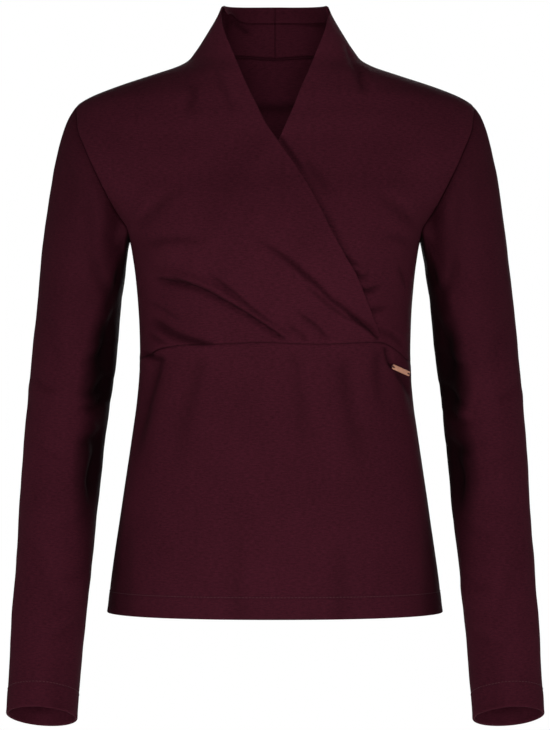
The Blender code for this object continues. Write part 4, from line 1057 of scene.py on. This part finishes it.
def rose_gold():
    """Rose gold plate, brushed along a slant."""
    made, nodes, links, shader = material("rose gold")
    uv = nodes.new("ShaderNodeUVMap")
    uv.uv_map = "UVMap"
    turn = nodes.new("ShaderNodeMapping")
    turn.inputs["Rotation"].default_value = (0, 0, math.radians(38))
    turn.inputs["Scale"].default_value = (240.0, 5200.0, 1.0)
    links.new(uv.outputs[0], turn.inputs["Vector"])
    brushed = add(nodes, "ShaderNodeTexNoise", Scale=1.0, Detail=4.0, Roughness=0.6)
    links.new(turn.outputs[0], brushed.inputs["Vector"])
    ramp = nodes.new("ShaderNodeValToRGB")
    ramp.color_ramp.elements[0].position, ramp.color_ramp.elements[1].position = 0.30, 0.72
    ramp.color_ramp.elements[0].color = (0.33, 0.152, 0.100, 1)
    ramp.color_ramp.elements[1].color = (0.58, 0.300, 0.205, 1)
    links.new(brushed.outputs["Fac"], ramp.inputs[0])
    links.new(ramp.outputs[0], shader.inputs["Base Color"])
    shader.inputs["Metallic"].default_value = 1.0
    links.new(maths(nodes, links, "ADD", maths(nodes, links, "MULTIPLY", brushed.outputs["Fac"], 0.22), 0.26), shader.inputs["Roughness"])
    bump = nodes.new("ShaderNodeBump")
    bump.inputs["Strength"].default_value = 0.25
    bump.inputs["Distance"].default_value = 0.00005
    links.new(brushed.outputs["Fac"], bump.inputs["Height"])
    links.new(bump.outputs[0], shader.inputs["Normal"])
    return made


JERSEY = (0.0396, 0.0061, 0.0119)
CLOTH, THREAD, ROSE = jersey(), thread(), rose_gold()



# ---- making the garment ----------------------------------------------------------------------------------------
BODY_CREASES = FRONT + LOWER

# outer wrap, the wearer's right
grid, weight = front_upper(WRAP_EDGE, 108, waist_z(180.0))
grid = settle_on_waist(grid, weight, False)
lift = wrap_lift(form_point(grid[..., 0], grid[..., 1]))
right_upper, right_parts = trunk_piece("wrap right", grid[..., 0], grid[..., 1], lift, ("first", "last", "left"), ("right",), CLOTH, waist="last", creases=BODY_CREASES)

# underlap, the wearer's left
grid, weight = front_upper(UNDER_EDGE, 108, waist_z(0.0))
grid = settle_on_waist(grid, weight, True)
left_upper, left_parts = trunk_piece("wrap left", grid[..., 0], grid[..., 1], np.zeros(grid.shape[:2]), ("first", "last", "left"), ("right",), CLOTH,
                                     mirror=True, waist="last", creases=BODY_CREASES + UNDERLAP)

# lower front
down_at = edge_steps(250.0, 126)[0]
left_line = beside(side_line(waist_z(180.0) - SEAM / 2, HEM_Z, down_at), -SEAM / 2)[:, :1]
right_line = 180 - beside(side_line(waist_z(0.0) - SEAM / 2, HEM_Z, down_at), -SEAM / 2)[:, :1]
across_at = edge_steps(480.0, 164)[0]
low_angle = left_line + (right_line - left_line) * across_at[None]
low_z = (waist_z(low_angle) - SEAM / 2) * (1 - down_at[:, None]) + HEM_Z * down_at[:, None]
lower, lower_parts = trunk_piece("lower front", low_angle, low_z, np.zeros(low_z.shape), ("first", "left", "right"), ("last",), CLOTH, hem=True, waist="first", creases=BODY_CREASES)

# back
back_angle, back_z = back_grid((30, 46, 46, 92), 158)
back, back_parts = trunk_piece("back panel", back_angle, back_z, np.zeros(back_z.shape), ("first", "left", "right"), ("last",), CLOTH, hem=True, creases=BODY_CREASES)

# sleeves
right_sleeve, right_arm = sleeve_piece("right sleeve", CLOTH, False, ARM_RIGHT, ARM_DEEP)
left_sleeve, left_arm = sleeve_piece("left sleeve", CLOTH, True, ARM_LEFT, ARM_DEEP_LEFT)


# turned-in edge of the collar, inside the back neck
def collar_turn(name, side_height, end_angle, mirror, curl):
    angles = 270 - np.degrees(SEAM / 2 / 60) - (270 - end_angle) * edge_steps(90.0, 74)[0]
    top = collar_top(angles) - 0.3
    height = side_height + (TURN_BACK - side_height) * ease((angles - 198) / 46)
    down = edge_steps(15.0, 22)[0][:, None]
    grid_z, grid_angle = top[None] - height[None] * down, np.repeat(angles[None], 22, 0)
    middle, normal = form_point(grid_angle, grid_z), form_normal(grid_angle, grid_z)
    uv = cloth_uv(grid_angle, grid_z)
    if mirror:
        middle, normal = middle * [-1, 1, 1], normal * [-1, 1, 1]
    # the free lower edge stands off the collar, more where it curls
    off = TURN_GAP + 1.2 * down**2 + curl * down**1.6 * ease((228 - grid_angle) / 26)
    from_left, to_right = run_length(middle, 1)
    rim = np.minimum(run_length(middle, 0)[1], to_right)
    high, low = cross_section(from_left, rim)
    outer, inner = middle + normal * (high * 0.9 - off)[..., None], middle + normal * (low * 0.9 - off)[..., None]
    # painted shade along the centre-back seam
    line = 0.8 * np.exp(-((from_left / 0.5) ** 2))
    return shell(name, outer, inner, uv, CLOTH, deep=(line, line))


turn_right = collar_turn("collar turn right", 5.0, 184.0, False, 4.4)
turn_left = collar_turn("collar turn left", TURN_BACK - 1.0, 178.0, True, 0.4)


# ---- the seam allowance inside the back neck, overlocked ---------------------------------------------------------------
def neck_allowance():
    at = np.linspace(0, 1, 120)
    line = neck_line(at)[:, :]
    angle = np.concatenate([line[::-1, 0], 540 - line[1:, 0]])
    z = np.concatenate([line[::-1, 1], line[1:, 1]])
    keep = (angle > 196) & (angle < 344)
    angle, z = angle[keep], z[keep]
    down = np.array([0.0, 0.06, 0.2, 0.5, 0.8, 0.94, 1.0])[:, None]
    grid_angle, grid_z = np.repeat(angle[None], 7, 0), z[None] - 0.3 - 2.2 * down
    middle, normal = form_point(grid_angle, grid_z), form_normal(grid_angle, grid_z)
    round_off = np.array([0.15, 0.7, 1.0, 1.0, 1.0, 0.7, 0.15])[:, None] * 0.32
    off = 0.95 + 0.20 * np.sin(np.arange(len(angle)) * 0.31)[None] * down
    outer, inner = middle + normal * (round_off - off)[..., None], middle + normal * (-round_off - off)[..., None]
    # painted shade: the strip is darkened where it lies in the back neck's shade
    strip = shell("neck allowance", outer, inner, cloth_uv(grid_angle, grid_z), CLOTH, deep=(0.6, 0.6))
    # loops of thread over its edge, slanting
    along = np.concatenate([[0], np.cumsum(np.linalg.norm(np.diff(middle[3], axis=0), axis=1))])
    places = np.arange(1.0, along[-1] - 1, 1.7)
    lines, ups = [], []
    for s in places:
        p = [np.stack([np.interp(s + lean, along, (inner[r])[:, i]) for i in range(3)]) for r, lean in ((1, 0.0), (5, 0.6))]
        n = np.stack([np.interp(s, along, -normal[3][:, i]) for i in range(3)])
        lines.append(p)
        ups.append(n)
    lines, ups = np.array(lines), np.array(ups)
    ring_at_ = np.radians(np.arange(5) * 72.0)
    share = np.linspace(0, 1, 5)
    centre = lines[:, :1] * (1 - share)[None, :, None] + lines[:, 1:] * share[None, :, None]
    centre = centre + ups[:, None] * (np.array([-0.05, 0.16, 0.2, 0.16, -0.05]))[None, :, None]
    ahead = (lines[:, 1] - lines[:, 0])
    ahead /= np.linalg.norm(ahead, axis=1, keepdims=True)
    side = np.cross(ups, ahead)
    side /= np.linalg.norm(side, axis=1, keepdims=True)
    ring = centre[:, :, None] + 0.17 * (np.cos(ring_at_)[None, None, :, None] * side[:, None, None] + np.sin(ring_at_)[None, None, :, None] * ups[:, None, None])
    number = np.arange(len(places) * 25).reshape(-1, 5, 5)
    nxt = np.roll(number, -1, axis=2)
    quads = np.stack([number[:, :-1], nxt[:, :-1], nxt[:, 1:], number[:, 1:]], -1).reshape(-1, 4)
    # painted shade: the loops are darkened where they lie in the back neck's shade
    loops = mesh_object("neck overlock", ring.reshape(-1, 3), quads, np.zeros((len(quads), 4, 2)), CLOTH, deep=np.full(ring.size // 3, 0.5))
    return strip, loops


allowance, overlock = neck_allowance()


# ---- hem and cuff stitching -----------------------------------------------------------------------------------------------
def level_line(parts, distance):
    """Points on the outer face at this distance from the last row, and the normals there."""
    middle, normal, shift, high = parts[:4]
    to_last = run_length(middle, 0)[1]
    surface = middle + normal * (shift + high)[..., None]
    points, ways = [], []
    for c in range(middle.shape[1]):
        order = np.argsort(to_last[:, c])
        points.append([np.interp(distance, to_last[order, c], surface[order, c, i]) for i in range(3)])
        ways.append([np.interp(distance, to_last[order, c], normal[order, c, i]) for i in range(3)])
    return np.array(points), np.array(ways)


stitches = []
for name, parts, distance, closed in (
    ("hem stitches front", lower_parts, HEM_DEPTH, False),
    ("hem stitches back", back_parts, HEM_DEPTH, False),
    ("cuff stitches right", right_arm, CUFF_DEPTH, True),
    ("cuff stitches left", left_arm, CUFF_DEPTH, True),
):
    line, ways = level_line(parts, distance)
    stitches.append(stitch_run(name, line, ways, 2.7, 0.7, 0.42, THREAD, closed=closed))


# ---- the metal tag -------------------------------------------------------------------------------------------------------
def tag():
    """A flat rounded bar with an open slot in from each end, its edges softened."""
    inner_end = on_front([Spot(115.3, -304.2)])[0]
    start = form_point(inner_end[0], inner_end[1]) + form_normal(inner_end[0], inner_end[1]) * (WALL / 2 + 1.65)
    yaw, drop = np.radians(TAG_YAW), np.radians(TAG_DROP)
    ahead = np.array([np.cos(yaw) * np.cos(drop), np.sin(yaw) * np.cos(drop), -np.sin(drop)])
    facing = np.array([np.sin(yaw), -np.cos(yaw), 0.0])
    up = np.cross(ahead, facing)
    up *= np.sign(up[2])
    # outline: half the bar's height and half the slot's, along the bar
    near = np.array([0.0, 0.08, 0.2, 0.4, 0.7, 1.1, 1.6, 2.2, 2.7, 3.05, 3.2, 3.35, 3.6, 4.2, 5.2])
    run = np.concatenate([near, np.linspace(6.4, TAG_LENGTH - 6.4, 22), TAG_LENGTH - near[::-1]])
    end = np.minimum(run, TAG_LENGTH - run)
    tall = TAG_HEIGHT / 2 - 1.5 * (1 - np.sqrt(np.clip(1 - (1 - np.clip(end / 1.5, 0, 1)) ** 2, 0, 1)))
    slot = 0.55 * np.sqrt(np.clip(1 - (np.clip(end - 2.4, 0, 1) / 0.8) ** 2, 0, 1)) * (end < 3.2)
    slot = np.maximum(slot, 0.012)
    level = np.array([0.0, 0.06, 0.16, 0.32, 0.55, 0.78, 0.9, 0.97, 1.0])
    bars = []
    for sign in (1, -1):
        height = sign * (slot[None] + (tall - slot)[None] * level[:, None])
        edge = np.minimum(np.abs(height) - np.where(end < 3.2, slot, -9)[None], tall[None] - np.abs(height))
        edge = np.minimum(edge, end[None] + 0 * edge)
        bevel = 0.24 * (1 - np.sqrt(np.clip(1 - (1 - np.clip(edge / 0.34, 0, 1)) ** 2, 0, 1)))
        flat = start + ahead * run[None, :, None] + up * height[..., None]
        uv = np.stack([run[None] + 0 * height, height], -1) / 1000
        bars.append(shell("tag half", flat + facing * (TAG_WALL - bevel)[..., None], flat + facing * bevel[..., None], uv, ROSE))
    bpy.ops.object.select_all(action="DESELECT")
    for bar in bars:
        bar.select_set(True)
    bpy.context.view_layer.objects.active = bars[0]
    bpy.ops.object.join()
    bars[0].name = "rose_gold_tag"
    return bars[0], (start, ahead, facing, up)


tag_bar, tag_frame = tag()


def loop_of_thread(name, at):
    """A few turns of thread from the cloth through the slot and back over the end of the bar."""
    start, ahead, facing, up = tag_frame
    way = np.sign(at - TAG_LENGTH / 2)
    tip = TAG_LENGTH if way > 0 else 0.0
    rings = []
    for spread in (-0.26, 0.0, 0.26):
        turn = np.linspace(0, 2 * np.pi, 25)[:-1]
        run, out = (at + tip + way * 0.5) / 2 + (tip + way * 0.5 - at) / 2 * np.cos(turn), TAG_WALL / 2 + (TAG_WALL / 2 + 0.25) * np.sin(turn)
        deep = np.where(np.sin(turn) < 0, -1.0 if way < 0 else -3.2, 0.0) * np.abs(np.sin(turn)) ** 0.7
        line = start + ahead * run[:, None] + facing * (out + deep)[:, None] + up * (spread * (1 + 0.4 * np.cos(turn)))[:, None]
        along = np.roll(line, -1, 0) - np.roll(line, 1, 0)
        along /= np.linalg.norm(along, axis=1, keepdims=True)
        side = np.cross(along, up)
        side /= np.linalg.norm(side, axis=1, keepdims=True)
        other = np.cross(along, side)
        about = np.arange(8) * np.pi / 4
        rings.append(line[:, None] + 0.16 * (np.cos(about)[None, :, None] * side[:, None] + np.sin(about)[None, :, None] * other[:, None]))
    points = np.concatenate([r.reshape(-1, 3) for r in rings])
    number = np.arange(len(points)).reshape(3, 24, 8)
    step, nxt = np.roll(number, -1, 1), np.roll(number, -1, 2)
    quads = np.stack([number, nxt, np.roll(step, -1, 2), step], -1).reshape(-1, 4)
    return mesh_object(name, points, quads, np.zeros((len(quads), 4, 2)), THREAD)


tag_threads = [loop_of_thread("tag thread inner", 2.2), loop_of_thread("tag thread outer", TAG_LENGTH - 2.2)]

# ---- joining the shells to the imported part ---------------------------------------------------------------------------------
Cut = namedtuple("Cut", "piece node width length share held rests")
CUTS = [  # the flat cut: its bounding width and length in metres, and the share of that it fills
    Cut(right_upper, "front_right_upper", 0.42, 0.42, 0.50, "draped", ["the wearer's shoulder"]),
    Cut(left_upper, "front_left_upper", 0.42, 0.42, 0.50, "draped", ["the wearer's shoulder"]),
    Cut(lower, "front_lower", 0.47, 0.28, 0.90, "hung", ["front_right_upper"]),
    Cut(back, "back", 0.48, 0.60, 0.78, "draped", ["the wearer's shoulders"]),
    Cut(right_sleeve, "sleeve_right", 0.36, 0.66, 0.66, "draped", ["the wearer's arm"]),
    Cut(left_sleeve, "sleeve_left", 0.36, 0.66, 0.66, "draped", ["the wearer's arm"]),
    Cut(turn_right, "collar_turn_right", 0.085, 0.016, 0.80, "folded", ["front_right_upper"]),
    Cut(turn_left, "collar_turn_left", 0.095, 0.017, 0.97, "folded", ["front_left_upper"]),
]
areas = {}
for cut in CUTS:
    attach(cut.piece, "root")
    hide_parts(cut.node)
    corners = np.empty(len(cut.piece.data.vertices) * 3, np.float32)
    cut.piece.data.vertices.foreach_get("co", corners)
    measured = sum(p.area for p in cut.piece.data.polygons) / 2
    areas[cut.piece.name] = (round(measured, 4), round(measured / (cut.width * cut.length * cut.share), 3))
print("areas", areas)
for extra in stitches + [allowance, overlock] + tag_threads:
    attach(extra, "root")
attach(tag_bar, "root")
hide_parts("metal_tag")

# ---- studio -------------------------------------------------------------------------------------------------------------------
def floor():
    mesh = bpy.data.meshes.new("floor")
    mesh.from_pydata([(5 * math.cos(a * math.pi / 32), 5 * math.sin(a * math.pi / 32), -1.42) for a in range(64)], [], [tuple(range(64))])
    made, nodes, links, shader = material("pale floor")
    place = nodes.new("ShaderNodeTexCoord")
    cloud = add(nodes, "ShaderNodeTexNoise", Scale=3.0, Detail=2.0)
    links.new(place.outputs["Object"], cloud.inputs["Vector"])
    ramp = nodes.new("ShaderNodeValToRGB")
    ramp.color_ramp.elements[0].color, ramp.color_ramp.elements[1].color = (0.90, 0.90, 0.90, 1), (0.93, 0.93, 0.93, 1)
    links.new(cloud.outputs["Fac"], ramp.inputs[0])
    links.new(ramp.outputs[0], shader.inputs["Base Color"])
    shader.inputs["Roughness"].default_value = 0.9
    mesh.materials.append(made)
    obj = bpy.data.objects.new("floor", mesh)
    bpy.context.scene.collection.objects.link(obj)
    return obj


floor()


def lamp(name, place, aim, size, power, colour=(1, 1, 1)):
    data = bpy.data.lights.new(name, "AREA")
    data.shape, data.size, data.size_y, data.energy, data.color = "RECTANGLE", size[0], size[1], power, colour
    obj = bpy.data.objects.new(name, data)
    bpy.context.scene.collection.objects.link(obj)
    obj.location = place
    way = np.array(aim, float) - np.array(place, float)
    obj.rotation_euler = (math.atan2(math.hypot(way[0], way[1]), -way[2]), 0, math.atan2(-way[0], way[1]) if way[0] or way[1] else 0)
    return obj


lamp("front", (0.0, -3.2, -0.45), (0, 0, -0.34), (0.9, 0.9), 37.5)
lamp("key", (-2.2, -1.9, -1.1), (0, 0, -0.46), (0.9, 0.9), 31)
lamp("fill", (2.2, -1.9, -1.1), (0, 0, -0.46), (0.9, 0.9), 27)
lamp("side", (2.75, -1.05, -0.2), (0.1, -0.1, -0.32), (0.5, 0.9), 2.6)
lamp("behind", (0.3, 2.8, 0.4), (0, 0, -0.30), (2.0, 1.8), 58)

# a narrow lamp into the neck
beam = bpy.data.lights.new("neck", "SPOT")
beam.energy, beam.spot_size, beam.spot_blend, beam.shadow_soft_size = 125, math.radians(5.2), 1.0, 0.08
narrow = bpy.data.objects.new("neck", beam)
narrow.location, narrow.rotation_euler = (0.0, -2.7, 1.25), (math.atan2(2.73, 1.245), 0, 0)
bpy.context.scene.collection.objects.link(narrow)

# the studio's white walls are seen as white, and light the cloth only a little
world = bpy.data.worlds.new("studio")
bpy.context.scene.world = world
world.use_nodes = True
air, air_links = world.node_tree.nodes, world.node_tree.links
air["Background"].inputs[0].default_value = (1, 1, 1, 1)
air["Background"].inputs[1].default_value = 0.24
walls = air.new("ShaderNodeBackground")
walls.inputs[1].default_value = 1.0
walls.inputs[0].default_value = (1, 1, 1, 1)
ray, either = air.new("ShaderNodeLightPath"), air.new("ShaderNodeMixShader")
air_links.new(ray.outputs["Is Camera Ray"], either.inputs[0])
air_links.new(air["Background"].outputs[0], either.inputs[1])
air_links.new(walls.outputs[0], either.inputs[2])
air_links.new(either.outputs[0], air["World Output"].inputs[0])

camera = bpy.data.cameras.new("camera")
camera.sensor_fit, camera.sensor_width = "AUTO", 36.0
camera.lens = 36.0 * 3200.0 / 730.0
camera.clip_start, camera.clip_end = 0.05, 100
eye = bpy.data.objects.new("camera", camera)
eye.location = (0, -EYE_DISTANCE / 1000, EYE_Z / 1000)
eye.rotation_euler = (math.radians(90), 0, 0)
bpy.context.scene.collection.objects.link(eye)
bpy.context.scene.camera = eye
bpy.context.scene.view_settings.view_transform = "Standard"
bpy.context.scene.view_settings.look = "None"
